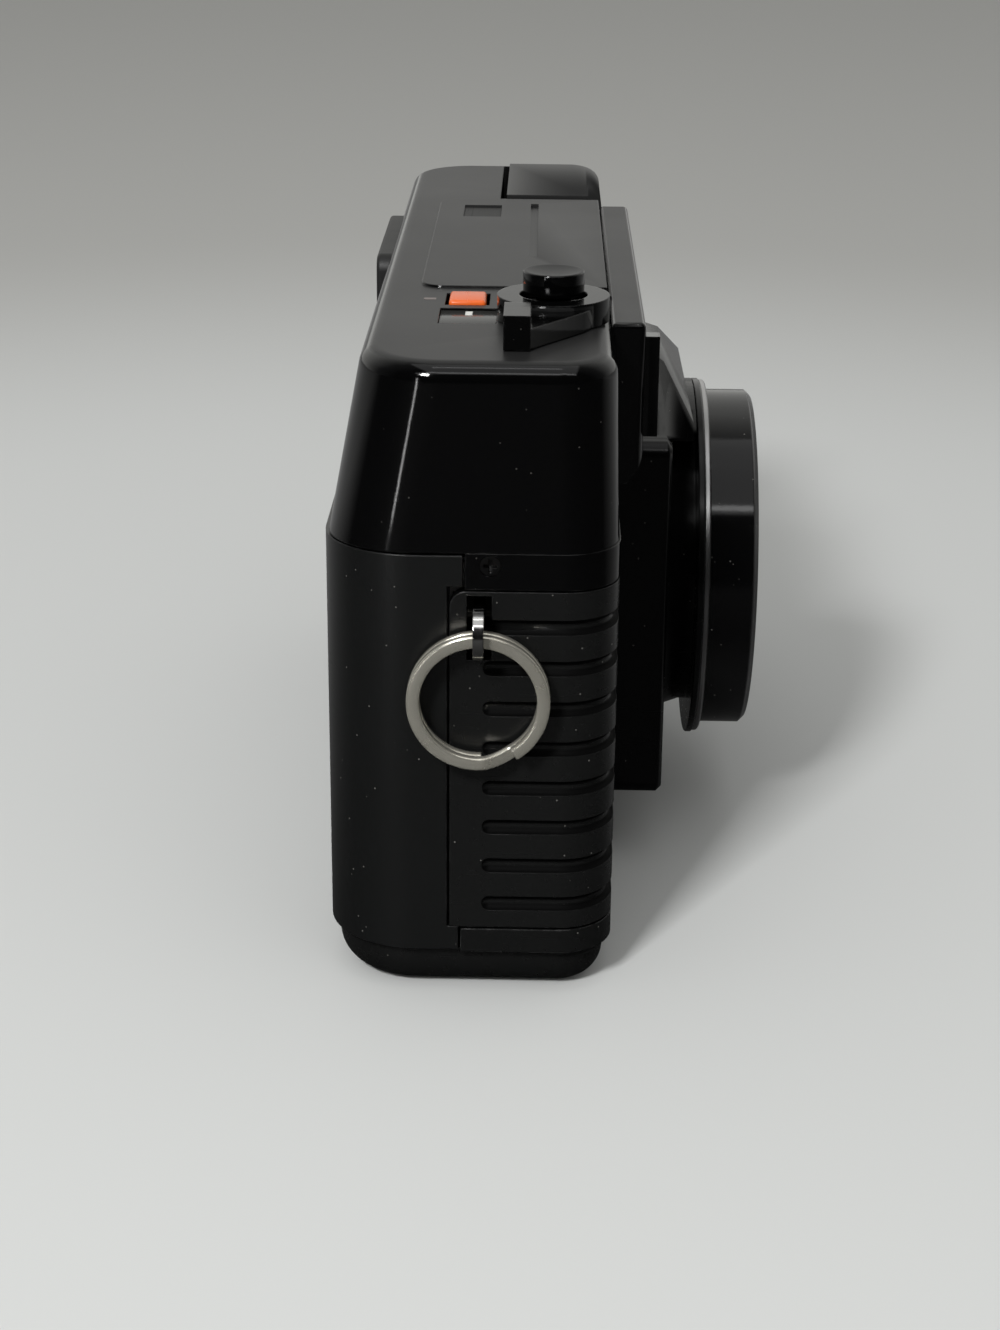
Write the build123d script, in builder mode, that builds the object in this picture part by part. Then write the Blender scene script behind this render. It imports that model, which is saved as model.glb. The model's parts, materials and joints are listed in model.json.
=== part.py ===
from build123d import *
import os
from math import cos, hypot, pi, radians, sin

os.makedirs("parts", exist_ok=True)

# A compact 35 mm camera. X points the way the lens looks, Y runs from the end with the shutter button
# to the far end, and Z is up. The origin is the mouth of the tripod socket, under the lens axis.
# Depths are measured forward from the back of the door, runs from the near end, heights from the base.

# The case
case_depth = 33.7
case_length = 131.6
case_height = 76.2
wall = 1.5
rear_corner_radius = 10.5
front_corner_radius = 6.5
seam_height = 54.85
base_height = 5.5
base_inset = 1.0
base_edge_radius = 4.0
moving_gap = 0.3
shaft_gap = 0.06
seat_gap = 0.1

# The lens axis and the tripod socket
axis_run = 62.0
axis_height = 34.5
socket_depth = 12.0
socket_bore_radius = 2.6
socket_radius = 4.2
socket_flange_radius = 5.2
socket_length = 6.0

# The top cover
cover_rear_low = 0.5
cover_rear_high = 4.5
cover_front_low = 0.2
cover_front_high = 0.85
cover_rear_radius = 9.2
cover_edge_radius = 2.3
panel_depths = (9.5, 32.3)
panel_runs = (38.6, case_length - 32.8)
panel_rise = 0.3
panel_corner_radius = 2.8
panel_edge_radius = 0.15
groove_depth_at = 23.1
groove_width = 1.1
groove_start_run = 57.0
groove_sink = 0.45

# The finder housing on the upper front
housing_runs = (21.5, case_length - 34.6)
housing_front = case_depth + 2.8
housing_heights = (seam_height + 1.85, case_height - 0.2)
housing_chin_height = seam_height + 6.55
housing_edge_radius = 0.7
rib_front = case_depth + 4.5
rib_heights = (case_height - 14.1, case_height - 2.1)
rib_runs = (housing_runs[0] + 1.5, housing_runs[0] + 3.8)
opening_margin = 1.4
finder_window_width = 12.0
finder_window_height = 8.0
finder_run = housing_runs[1] - 8.6
finder_drop = 8.4
finder_height = case_height - finder_drop
focus_window_size = 7.0
focus_window_runs = (29.6, 41.4)
window_thickness = 1.0
sensor_radius = 3.4
sensor_lens_radius = 2.6
finder_wall = 1.0

# The eyepiece on the back of the top cover
eyepiece_back = 1.7
eyepiece_front = 5.2
eyepiece_width = 32.0
eyepiece_height = 13.0
eyepiece_opening = (13.0, 8.0)
eyepiece_below = 7.6
eyepiece_rim = 2.3
eyepiece_corner_radius = 2.2
eyepiece_edge_radius = 0.6
eyepiece_seat = 0.8

# The lens
base_block_runs = (axis_run - 26.0, axis_run + 26.0)
base_block_heights = (axis_height - 24.6, axis_height + 23.1)
base_block_front = case_depth + 7.2
base_block_radius = 2.0
barrel_radius = 24.2
barrel_body_radius = 20.6
barrel_neck_radius = 19.6
barrel_flange = 0.95
barrel_front = case_depth + 12.0
trim_radius = 24.0
trim_width = 0.7
front_ring_radius = 22.75
front_ring_front = case_depth + 18.9
front_ring_lip_radius = 20.6
front_ring_throat_radius = 13.6
lens_bore_radius = 18.5
guide_radius = 15.5
guide_wall = 2.0
guide_flange_radius = 17.6
guide_flange_thickness = 1.4
mount_length = 16.0
mount_wall = 2.4
front_glass_radius = 9.0
glass_gap = 0.03
front_glass_thickness = 3.2
rear_glass_thickness = 2.4
fairing_top = case_height - 10.2
fairing_widths = (46.0, 13.0)
fairing_front = case_depth + 10.0
fairing_crest = (case_depth + 6.5, axis_height + 29.6)
hood_width = 25.0
shutter_radius = 16.5
shutter_thickness = 1.4
shutter_opening_radius = 7.5
blade_thickness = 0.3
blade_pin_radius = 0.7
blade_pivot_radius = 12.5

# The shutter button and the lever ring
button_depth = 25.7
button_run = 22.0
button_radius = 3.55
button_top = case_height + 5.8
button_cap_thickness = 2.6
button_stem_radius = 2.0
button_dish = 0.35
button_travel = 1.2
collar_radius = 3.9
collar_top = case_height + 1.8
lever_radius = 6.5
lever_top = case_height + 3.0
lever_arm_end = (23.0, 6.4)
lever_arm_join = (29.2, 15.2)
lever_tab_depths = (20.2, 23.2)
lever_tab_runs = (6.0, 13.0)
lever_tab_top = case_height + 4.0

# The orange push button, and the windows in the top
push_depths = (13.3, 17.7)
push_runs = (29.6, 35.2)
push_rise = 0.42
push_length = 4.62
push_gap = 0.45
counter_depths = (12.4, 19.2)
counter_runs = (19.4, 27.5)
pane_sink = 0.27
dial_depth = 16.0
dial_run = 31.5
dial_radius = 8.5
dial_thickness = 0.8
dial_drop = 6.4
dial_height = case_height - dial_drop
dial_hub_radius = 2.2
dial_hub_length = 3.0
indicator_depths = (13.1, 18.4)
indicator_runs = (panel_runs[1] - 14.2, panel_runs[1] - 5.3)

# The pop-up flash
flash_depths = (18.95, case_depth)
flash_runs = (case_length - 30.6, case_length - 2.8)
flash_top = case_height + 0.5
flash_side_gap = 0.9
flash_near_gap = 0.5
flash_pane_thickness = 0.6
flash_floor = case_height - 16.2
flash_wall = 1.2
flash_window_runs = (flash_runs[0] + 5.6, flash_runs[1] - 3.2)
flash_window_heights = (flash_floor + 2.6, flash_floor + 12.6)
well_wall = 1.0
well_floor = flash_floor - 2.1
tube_radius = 1.3
reflector_radius = 3.0
reflector_wall = 0.6
flash_spring_at = (24.0, flash_runs[0] + 2.4)
flash_spring_radius = 1.4
flash_spring_top = flash_floor + 13.0
capacitor_radius = 6.2
capacitor_length = 38.0
capacitor_at = (24.3, case_length - 9.2)

# The grip cover and its grooves
grip_start_depth = 14.6
grip_end_run = base_block_runs[0] - 0.2
grip_top = seam_height - 4.45
grip_bottom = 8.8
grip_corner_radius = 1.8
rib_start_depth = 19.2
rib_end_run = 29.0
rib_count = 8
rib_pitch = 4.9
rib_first_height = 11.9
rib_cutter_radius = 0.95
rib_cutter_offset = 0.3

# The strap lug and the split ring
lug_depth = 17.9
lug_thickness = 1.2
lug_radius = 3.0
lug_run = -1.9
lug_height = 46.1
lug_hole_radius = 1.7
lug_hole_height = 45.5
lug_hole_run = -2.0
ring_radius = 8.1
ring_wire_width = 1.5
ring_wire_thickness = 1.1
ring_turn_gap = 0.1
ring_end_angle = -56.0
ring_end_gap = 0.5

# The back door
door_edge_depth = 14.3
door_ear_depth = 16.0
door_ear_height = seam_height - 3.85
hinge_depth = door_ear_depth
hinge_run = case_length - 1.6
hinge_radius = 1.6
hinge_pin_radius = 0.8
hinge_break = (16.0, seam_height - 10.85)
hinge_edge_depth = 17.9
latch_knob_depths = (6.0, 11.0)
latch_knob_runs = (42.0, 49.0)
latch_travel = 3.0
latch_bar_depths = (4.2, 6.4)
latch_lug_runs = (58.5, 65.0)
latch_tongue_run = 61.0

# The film and what it runs on
film_depth = 5.2
rail_height = 0.3
frame_width = 36.0
frame_height = 24.0
film_width = 35.0
gate_thickness = 2.0
tunnel_front_depth = 24.0
tunnel_front_size = (24.0, 20.0)
tunnel_wall = 1.2
front_plate_thickness = 1.5
deck_heights = (8.0, 9.2)
roof_heights = (seam_height - 1.85, seam_height - 0.25)
chassis_inset = 1.8
cassette_radius = 13.1
cassette_depth = 15.0
cassette_run = case_length - 28.6
chamber_wall = 1.0
spool_depth = 13.2
spool_run = 30.0
spool_radius = 7.0
spool_wall = 0.7
spool_chamber_radius = 11.2
motor_radius = 5.9
motor_bottom = 14.0
motor_shaft_radius = 0.8
spool_hub_radius = 3.4
fork_shaft_radius = 2.0
fork_length = 5.0
pressure_plate_size = (42.0, 35.4)
pressure_plate_thickness = 1.0
sprocket_depth = 8.9
sprocket_run = 42.6
sprocket_radius = 2.9
sprocket_tooth = 0.7
sprocket_shaft_radius = 0.9
sprocket_heights = (16.4, 20.0)
sprocket_tooth_count = 4

# The gears under the lower deck
gear_low_heights = (3.2, 4.6)
gear_high_heights = (5.3, 6.9)
gear_tip_gap = 0.3
gear_tooth_depth = 0.9
gear_pin_radius = 1.0
motor_pinion_radius = 3.8
transfer_depth = 21.8
transfer_run = 36.9
spool_gear_radius = 8.1
rewind_gear_radius = 6.6
rewind_gear_depth = 24.0
rewind_gear_first_run = cassette_run - 11.9
rewind_gear_count = 2

# The batteries
cell_radius = 7.25
cell_length = 50.5
cell_nub_radius = 2.75
cell_nub_length = 1.4
cell_gap = 0.1
cell_bottom = 3.3
cell_clearance = 0.2
cell_wall = 0.9
lid_run = 20.2
lid_tab_depth = 15.9
lid_tab_height = 8.5
lid_hinge_radius = 1.2
lid_pin_radius = 0.5
lid_knuckle_width = 4.0
lid_knuckle_inset = 7.2
lid_lip = 0.7
lid_hinge_clearance = 1.5
contact_thickness = 0.4

# The circuit board and the bracket of the counter dial
bracket_depths = (dial_depth - 8.0, button_depth + 4.3)
bracket_runs = (button_run - 2.0, dial_run + 8.5)
bracket_thickness = 1.2
switch_drop = 7.6
board_depths = (7.0, case_depth - 3.2)
board_runs = (bracket_runs[1] + 2.0, case_length - 32.6)
board_heights = (roof_heights[1] + 1.8, roof_heights[1] + 3.0)
board_post_radius = 1.6
board_post_inset = 5.0
board_post_depths = (board_depths[0] + 3.0, board_depths[1] - 2.5)
board_chip_count = 3
board_chip_size = (6.0, 6.0, 1.4)
board_chip_pitch = 9.0
board_chip_start = (12.0, board_runs[0] + 8.0)

# Screws
screw_head_radius = 1.6
screw_shank_radius = 0.8
screw_boss_radius = 2.3
screw_sink = 0.4
screw_head_thickness = 1.0
screw_floor = 0.9
screw_places = ((27.5, 24.0), (6.0, 76.0), (28.0, case_length - 9.6), (6.0, case_length - 13.6))
end_screw_depth = 19.1
end_screw_height = seam_height - 1.45
end_screw_radius = 1.2


def depth(value):
    """X of a depth measured forward from the back of the door."""
    return value - socket_depth


def run(value):
    """Y of a run measured from the near end."""
    return value - axis_run


def block(depths, runs, heights, mode=Mode.ADD):
    """A plain block between two depths, two runs and two heights."""
    middle = (depth(sum(depths) / 2), run(sum(runs) / 2), sum(heights) / 2)
    with Locations(middle):
        Box(depths[1] - depths[0], runs[1] - runs[0], heights[1] - heights[0], mode=mode)


def upright(at_depth, at_run, heights, radius, mode=Mode.ADD):
    """A round post or hole that stands on end."""
    with Locations((depth(at_depth), run(at_run), sum(heights) / 2)):
        Cylinder(radius, heights[1] - heights[0], mode=mode)


def forward(at_run, at_height, depths, radius, mode=Mode.ADD):
    """A round boss or hole along the way the lens looks."""
    with Locations((depth(sum(depths) / 2), run(at_run), at_height)):
        Cylinder(radius, depths[1] - depths[0], rotation=(0, 90, 0), mode=mode)


def lengthwise(at_depth, at_height, runs, radius, mode=Mode.ADD):
    """A round rod or hole along the length of the case."""
    with Locations((depth(at_depth), run(sum(runs) / 2), at_height)):
        Cylinder(radius, runs[1] - runs[0], rotation=(90, 0, 0), mode=mode)


def case_plan(height, inset=0.0, rear=0.0, rear_radius=rear_corner_radius):
    """The rounded plan of the case at a height, drawn in by inset all round."""
    with BuildSketch(Plane.XY.offset(height)) as plan:
        with Locations((depth((rear + case_depth) / 2), run(case_length / 2))):
            Rectangle(case_depth - rear - 2 * inset, case_length - 2 * inset)
        fillet(plan.vertices().group_by(Axis.X)[0], rear_radius - inset)
        fillet(plan.vertices().group_by(Axis.X)[-1], front_corner_radius - inset)
    return plan.sketch


def case_ring(height, outer_inset, inner_inset):
    """The plan of a wall that follows the case all round."""
    return case_plan(height, outer_inset) - case_plan(height, inner_inset)


def cover_block(inset, top, edge_radius):
    """A solid of the top cover's outline, drawn in by inset, whose back and front lean inward."""
    share = (top - seam_height) / (case_height - seam_height)
    back_low = cover_rear_low + inset
    back_high = back_low + share * (cover_rear_high - cover_rear_low)
    front_low = case_depth - inset - cover_front_low
    front_high = front_low - share * (cover_front_high - cover_front_low)
    end_plane = Plane((0, run(inset), 0), x_dir=(1, 0, 0), z_dir=(0, -1, 0))
    with BuildPart() as solid:
        with BuildSketch(end_plane) as profile:
            Polygon(
                (depth(back_low), seam_height),
                (depth(front_low), seam_height),
                (depth(front_high), top),
                (depth(back_high), top),
                align=None,
            )
        extrude(profile.sketch, amount=2 * inset - case_length)
        rear_edges = solid.edges().filter_by(Axis.Y, reverse=True).filter_by(Axis.X, reverse=True)
        fillet(rear_edges.sort_by(Axis.X)[:2], cover_rear_radius - inset)
        front_edges = solid.edges().filter_by(Axis.Y, reverse=True).filter_by(Axis.X, reverse=True)
        fillet(front_edges.sort_by(Axis.X)[-2:], front_corner_radius - inset)
        if edge_radius:
            fillet(solid.edges().group_by(Axis.Z)[-1], edge_radius)
    return solid.part


def gear_plan(at_depth, at_run, height, radius, turn=0.0):
    """A toothed wheel's plan, drawn to its tip radius."""
    teeth = round(2 * pi * radius / (2.2 * gear_tooth_depth))
    root = radius - gear_tooth_depth
    half_tip = 0.2 * gear_tooth_depth
    half_root = 0.55 * gear_tooth_depth
    with BuildSketch(Plane((depth(at_depth), run(at_run), height))) as plan:
        Circle(root)
        with PolarLocations(0, teeth, start_angle=turn):
            Polygon(
                (root - 0.2, -half_root),
                (radius, -half_tip),
                (radius, half_tip),
                (root - 0.2, half_root),
                align=None,
            )
    return plan.sketch


def gear(at_depth, at_run, heights, radius):
    """A toothed wheel between two heights."""
    extrude(gear_plan(at_depth, at_run, heights[0], radius), amount=heights[1] - heights[0])


hinge_height = lid_hinge_radius
lid_knuckle_places = (lid_knuckle_inset, case_depth / 2, case_depth - lid_knuckle_inset)
screw_seat = screw_sink + screw_head_thickness
rewind_pitch = 2 * rewind_gear_radius + gear_tip_gap
rewind_gear_runs = [rewind_gear_first_run - count * rewind_pitch for count in range(rewind_gear_count)]
gear_pins = [(transfer_depth, transfer_run)]
gear_pins += [(rewind_gear_depth, place) for place in rewind_gear_runs]
fork_distance = hypot(rewind_gear_depth - cassette_depth, rewind_gear_runs[0] - cassette_run)
fork_gear_radius = fork_distance - rewind_gear_radius - gear_tip_gap
lens_plane = Plane((depth(0), run(axis_run), axis_height), x_dir=(0, 1, 0), z_dir=(1, 0, 0))
inner_front = case_depth - wall
inner_far = case_length - wall
tunnel_depths = (eyepiece_front + 2.6, inner_front - seat_gap)
eyepiece_runs = (finder_run - eyepiece_width / 2, finder_run + eyepiece_width / 2)
eyepiece_heights = (finder_height - eyepiece_below, finder_height - eyepiece_below + eyepiece_height)
cell_run = chassis_inset + cell_wall + cell_clearance + cell_radius
rear_cell_depth = cell_run
front_cell_depth = rear_cell_depth + 2 * cell_radius + cell_gap
cell_top = cell_bottom + cell_length

# The base: a shallow tray with a rounded lower edge. Its near end is the battery lid.
with BuildPart() as bottom_cover:
    extrude(case_plan(0, base_inset), amount=base_height)
    fillet(bottom_cover.edges().group_by(Axis.Z)[0], base_edge_radius)
    extrude(case_plan(wall, base_inset + wall), amount=base_height, mode=Mode.SUBTRACT)
    block((-1, case_depth + 1), (-1, lid_run), (-1, base_height + 1), mode=Mode.SUBTRACT)
    # The lid's edge swings down past this one, so the base keeps clear of the hinge line.
    block(
        (-1, case_depth + 1),
        (lid_run - moving_gap, lid_run + lid_hinge_clearance),
        (-1, hinge_height + lid_hinge_clearance),
        mode=Mode.SUBTRACT,
    )
    for place in lid_knuckle_places:
        knuckle = (place - lid_knuckle_width / 2, place + lid_knuckle_width / 2)
        forward(lid_run, hinge_height, knuckle, lid_hinge_radius)
        block(knuckle, (lid_run, lid_run + lid_hinge_clearance + 1), (0, wall))
    forward(lid_run, hinge_height, (0, case_depth), lid_pin_radius, mode=Mode.SUBTRACT)
    upright(socket_depth, axis_run, (-1, wall + 1), socket_radius, mode=Mode.SUBTRACT)
    block(
        (latch_knob_depths[0] - moving_gap, latch_knob_depths[1] + moving_gap),
        (latch_knob_runs[0] - moving_gap, latch_knob_runs[1] + latch_travel + moving_gap),
        (-1, wall + 1),
        mode=Mode.SUBTRACT,
    )
    for place in screw_places:
        upright(*place, (0, screw_seat + screw_floor), screw_boss_radius)
        upright(*place, (-1, screw_seat), screw_head_radius, mode=Mode.SUBTRACT)
        upright(*place, (-1, screw_seat + wall), screw_shank_radius, mode=Mode.SUBTRACT)
bottom_cover.part.label = "bottom_cover"
export_step(bottom_cover.part, "parts/bottom_cover.step")

# The battery lid: the near end of the base, with a tab that reaches up the end and round the front.
with BuildPart() as battery_lid:
    extrude(case_plan(0, base_inset), amount=base_height)
    fillet(battery_lid.edges().group_by(Axis.Z)[0], base_edge_radius)
    extrude(case_plan(base_height, 0), amount=lid_tab_height - base_height)
    block(
        (-1, lid_tab_depth),
        (-1, case_length),
        (base_height, lid_tab_height + 1),
        mode=Mode.SUBTRACT,
    )
    extrude(case_plan(wall, base_inset + wall), amount=lid_tab_height, mode=Mode.SUBTRACT)
    # The front cell stands close to the front, so the lid's side wall is thin beside it.
    block(
        (front_cell_depth, front_cell_depth + cell_radius + moving_gap),
        (front_corner_radius, case_length),
        (cell_bottom - moving_gap, lid_tab_height + 1),
        mode=Mode.SUBTRACT,
    )
    block(
        (-1, case_depth + 1),
        (lid_run - moving_gap, case_length + 1),
        (wall, lid_tab_height + 1),
        mode=Mode.SUBTRACT,
    )
    # A thin lip goes on under the hinge line and narrows the gap there.
    block(
        (-1, case_depth + 1),
        (lid_run + lid_lip, case_length + 1),
        (-1, wall + 1),
        mode=Mode.SUBTRACT,
    )
    reach = lid_hinge_radius + moving_gap
    for place in lid_knuckle_places:
        block(
            (place - lid_knuckle_width / 2 - moving_gap, place + lid_knuckle_width / 2 + moving_gap),
            (lid_run - reach - 0.2, lid_run + lid_lip),
            (-1, wall + reach),
            mode=Mode.SUBTRACT,
        )
    between = (case_depth / 2 + lid_knuckle_inset) / 2
    for place in (between, case_depth - between):
        knuckle = (place - lid_knuckle_width / 2, place + lid_knuckle_width / 2)
        forward(lid_run, hinge_height, knuckle, lid_hinge_radius)
        block(knuckle, (lid_run - reach, lid_run), (0, wall))
    forward(
        lid_run,
        hinge_height,
        (0, case_depth),
        lid_pin_radius + shaft_gap,
        mode=Mode.SUBTRACT,
    )
battery_lid.part.label = "battery_lid"
export_step(battery_lid.part, "parts/battery_lid.step")

with BuildPart() as battery_lid_pin:
    forward(
        lid_run,
        hinge_height,
        (lid_knuckle_places[0] - lid_knuckle_width / 2, lid_knuckle_places[-1] + lid_knuckle_width / 2),
        lid_pin_radius,
    )
battery_lid_pin.part.label = "battery_lid_pin"
export_step(battery_lid_pin.part, "parts/battery_lid_pin.step")

# Two cells stand one behind the other at the near end, one of them upside down.
with BuildPart() as battery_cells:
    for place, nub_first in ((rear_cell_depth, False), (front_cell_depth, True)):
        start = cell_bottom + (cell_nub_length if nub_first else 0)
        stop = cell_top - (0 if nub_first else cell_nub_length)
        upright(place, cell_run, (start, stop), cell_radius)
        nub = (cell_bottom, start + 1) if nub_first else (stop - 1, cell_top)
        upright(place, cell_run, nub, cell_nub_radius)
    fillet(battery_cells.edges().filter_by(GeomType.CIRCLE).group_by(SortBy.RADIUS)[-1], 0.5)
battery_cells.part.label = "battery_cells"
export_step(battery_cells.part, "parts/battery_cells.step")

# The contact strip in the lid, with a button under each cell
with BuildPart() as lid_contact:
    block(
        (rear_cell_depth - 4, front_cell_depth + 4),
        (cell_run - 3.5, cell_run + 3.5),
        (wall, wall + contact_thickness),
    )
    for place in (rear_cell_depth, front_cell_depth):
        upright(place, cell_run, (wall, cell_bottom - seat_gap), 2.4)
lid_contact.part.label = "lid_contact"
export_step(lid_contact.part, "parts/lid_contact.step")

# The contacts over the cells
roof_contact_bottom = cell_top + seat_gap
with BuildPart() as battery_contacts:
    for place in (rear_cell_depth, front_cell_depth):
        block(
            (place - 4.5, place + 4.5),
            (cell_run - 3.5, cell_run + 3.5),
            (roof_contact_bottom, roof_contact_bottom + contact_thickness),
        )
battery_contacts.part.label = "battery_contacts"
export_step(battery_contacts.part, "parts/battery_contacts.step")

# The front cover: the front wall, the far end and the strip over the grip cover
strip_bottom = grip_top + 0.2
inner_wall_runs = (2.1, 2.8)
inner_wall_depths = (door_ear_depth + moving_gap, case_depth - front_corner_radius + 2)
with BuildPart() as front_cover:
    extrude(case_ring(base_height, 0, wall), amount=seam_height - base_height)
    block(
        (-1, door_ear_depth + moving_gap),
        (-1, case_length / 2),
        (0, case_height),
        mode=Mode.SUBTRACT,
    )
    block((-1, hinge_edge_depth), (case_length / 2, case_length + 1), (0, case_height), mode=Mode.SUBTRACT)
    block((0, case_depth + 1), (-1, grip_end_run), (grip_bottom - 0.1, strip_bottom), mode=Mode.SUBTRACT)
    block((0, case_depth + 1), (-1, lid_run), (0, strip_bottom), mode=Mode.SUBTRACT)
    block(
        inner_wall_depths,
        inner_wall_runs,
        (lid_tab_height + moving_gap, seam_height - 1),
    )
    block(
        inner_wall_depths,
        (wall - 0.5, inner_wall_runs[1]),
        (strip_bottom, seam_height - 1),
    )
    forward(axis_run, axis_height, (inner_front - 1, case_depth + 1), lens_bore_radius, mode=Mode.SUBTRACT)
    # The fixed knuckle of the door hinge
    upright(hinge_depth, hinge_run, hinge_break, hinge_radius)
    block(
        (hinge_depth, hinge_edge_depth + 0.5),
        (hinge_run - 0.6, hinge_run + hinge_radius),
        hinge_break,
    )
    upright(hinge_depth, hinge_run, (0, seam_height), hinge_pin_radius, mode=Mode.SUBTRACT)
    lengthwise(end_screw_depth, end_screw_height, (-1, 6), screw_shank_radius, mode=Mode.SUBTRACT)
    lengthwise(
        end_screw_depth,
        end_screw_height,
        (-1, screw_head_thickness),
        end_screw_radius,
        mode=Mode.SUBTRACT,
    )
front_cover.part.label = "front_cover"
export_step(front_cover.part, "parts/front_cover.step")

# The grip cover wraps the near front corner, with eight grooves that run round it.
with BuildPart() as grip_cover:
    extrude(case_ring(grip_bottom, 0, wall), amount=grip_top - grip_bottom)
    block((-1, grip_start_depth), (-1, case_length + 1), (0, case_height), mode=Mode.SUBTRACT)
    block(
        (0, case_depth + 1),
        (grip_end_run - seat_gap, case_length + 1),
        (0, case_height),
        mode=Mode.SUBTRACT,
    )
    upper_edge = grip_cover.edges().filter_by(Axis.Y).group_by(Axis.X)[0].sort_by(Axis.Z)[-1]
    fillet(upper_edge, grip_corner_radius)
    for count in range(rib_count):
        height = rib_first_height + count * rib_pitch
        with BuildLine(Plane.XY.offset(height)) as track:
            corner = (case_depth - front_corner_radius, front_corner_radius)
            out = rib_cutter_offset
            start = Line(
                (depth(rib_start_depth), run(-out)),
                (depth(corner[0]), run(-out)),
            )
            bend = CenterArc(
                (depth(corner[0]), run(corner[1])),
                front_corner_radius + out,
                -90,
                90,
            )
            Line(
                (depth(case_depth + out), run(corner[1])),
                (depth(case_depth + out), run(rib_end_run)),
            )
        with BuildSketch(Plane((depth(rib_start_depth), run(-out), height), z_dir=(1, 0, 0))) as bit:
            Circle(rib_cutter_radius)
        sweep(bit.sketch, path=track.wire(), mode=Mode.SUBTRACT)
        with Locations(
            (depth(rib_start_depth), run(-out), height),
            (depth(case_depth + out), run(rib_end_run), height),
        ):
            Sphere(rib_cutter_radius, mode=Mode.SUBTRACT)
    block(
        (lug_depth - lug_thickness / 2 - 0.8, lug_depth + lug_thickness / 2 + 0.8),
        (-1, wall + 1),
        (lug_height - lug_radius - 0.8, lug_height + lug_radius + 0.8),
        mode=Mode.SUBTRACT,
    )
grip_cover.part.label = "grip_cover"
export_step(grip_cover.part, "parts/grip_cover.step")

# The strap lug: a rounded plate with a hole, and a flange that the grip cover holds down
lug_depths = (lug_depth - lug_thickness / 2, lug_depth + lug_thickness / 2)
flange_runs = (wall + 0.05, inner_wall_runs[0] - 0.02)
with BuildPart() as strap_lug:
    forward(lug_run, lug_height, lug_depths, lug_radius)
    block(lug_depths, (lug_run, flange_runs[1]), (lug_height - lug_radius, lug_height + lug_radius))
    block(
        (lug_depths[0] - 2.4, lug_depths[1] + 3.0),
        flange_runs,
        (lug_height - lug_radius - 0.6, lug_height + lug_radius + 0.6),
    )
    forward(lug_hole_run, lug_hole_height, (0, case_depth), lug_hole_radius, mode=Mode.SUBTRACT)
strap_lug.part.label = "strap_lug"
export_step(strap_lug.part, "parts/strap_lug.step")

# The split ring: two turns of flat wire, side by side, with one end showing
ring_height = lug_hole_height - ring_radius + ring_wire_width / 2
turn_half = ring_turn_gap / 2
with BuildPart() as split_ring:
    for side in (-1, 1):
        near_face = side * turn_half
        far_face = side * (turn_half + ring_wire_thickness)
        span = (lug_hole_run + min(near_face, far_face), lug_hole_run + max(near_face, far_face))
        lengthwise(lug_depth, ring_height, span, ring_radius)
        lengthwise(lug_depth, ring_height, span, ring_radius - ring_wire_width, mode=Mode.SUBTRACT)
    web = (lug_hole_run - turn_half, lug_hole_run + turn_half)
    lengthwise(lug_depth, ring_height, web, ring_radius - 0.3)
    lengthwise(
        lug_depth,
        ring_height,
        web,
        ring_radius - ring_wire_width + 0.3,
        mode=Mode.SUBTRACT,
    )
    middle = ring_radius - ring_wire_width / 2
    slit = (
        depth(lug_depth + middle * cos(radians(ring_end_angle))),
        run(lug_hole_run - turn_half - ring_wire_thickness / 2),
        ring_height + middle * sin(radians(ring_end_angle)),
    )
    with Locations(Location(slit, (0, -ring_end_angle, 0))):
        Box(ring_wire_width + 1, ring_wire_thickness, ring_end_gap, mode=Mode.SUBTRACT)
split_ring.part.label = "split_ring"
export_step(split_ring.part, "parts/split_ring.step")

# The back door wraps both ends and hangs on a pin at the far end.
door_heights = (base_height + moving_gap, seam_height - moving_gap)
with BuildPart() as back_door:
    extrude(case_ring(door_heights[0], 0, wall), amount=door_heights[1] - door_heights[0])
    middle_run = case_length / 2
    block((door_ear_depth, case_depth + 1), (-1, middle_run), (0, case_height), mode=Mode.SUBTRACT)
    block(
        (door_edge_depth, case_depth + 1),
        (-1, middle_run),
        (lid_tab_height + moving_gap, door_ear_height),
        mode=Mode.SUBTRACT,
    )
    block(
        (lid_tab_depth - moving_gap, case_depth + 1),
        (-1, middle_run),
        (0, door_ear_height),
        mode=Mode.SUBTRACT,
    )
    block(
        (hinge_depth - hinge_radius - moving_gap, case_depth + 1),
        (middle_run, case_length + 1),
        (0, case_height),
        mode=Mode.SUBTRACT,
    )
    for knuckle in (
        (door_heights[0], hinge_break[0] - moving_gap),
        (hinge_break[1] + moving_gap, door_heights[1]),
    ):
        upright(hinge_depth, hinge_run, knuckle, hinge_radius)
        block(
            (hinge_depth - hinge_radius - moving_gap - 1, hinge_depth),
            (hinge_run + 0.1, hinge_run + hinge_radius),
            knuckle,
        )
    upright(hinge_depth, hinge_run, (0, seam_height), hinge_pin_radius + shaft_gap, mode=Mode.SUBTRACT)
    block(
        (wall - 0.5, latch_bar_depths[0] - moving_gap),
        latch_lug_runs,
        (door_heights[0] + 0.3, door_heights[0] + 1.5),
    )
back_door.part.label = "back_door"
export_step(back_door.part, "parts/back_door.step")

with BuildPart() as door_hinge_pin:
    upright(hinge_depth, hinge_run, door_heights, hinge_pin_radius)
door_hinge_pin.part.label = "door_hinge_pin"
export_step(door_hinge_pin.part, "parts/door_hinge_pin.step")

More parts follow.
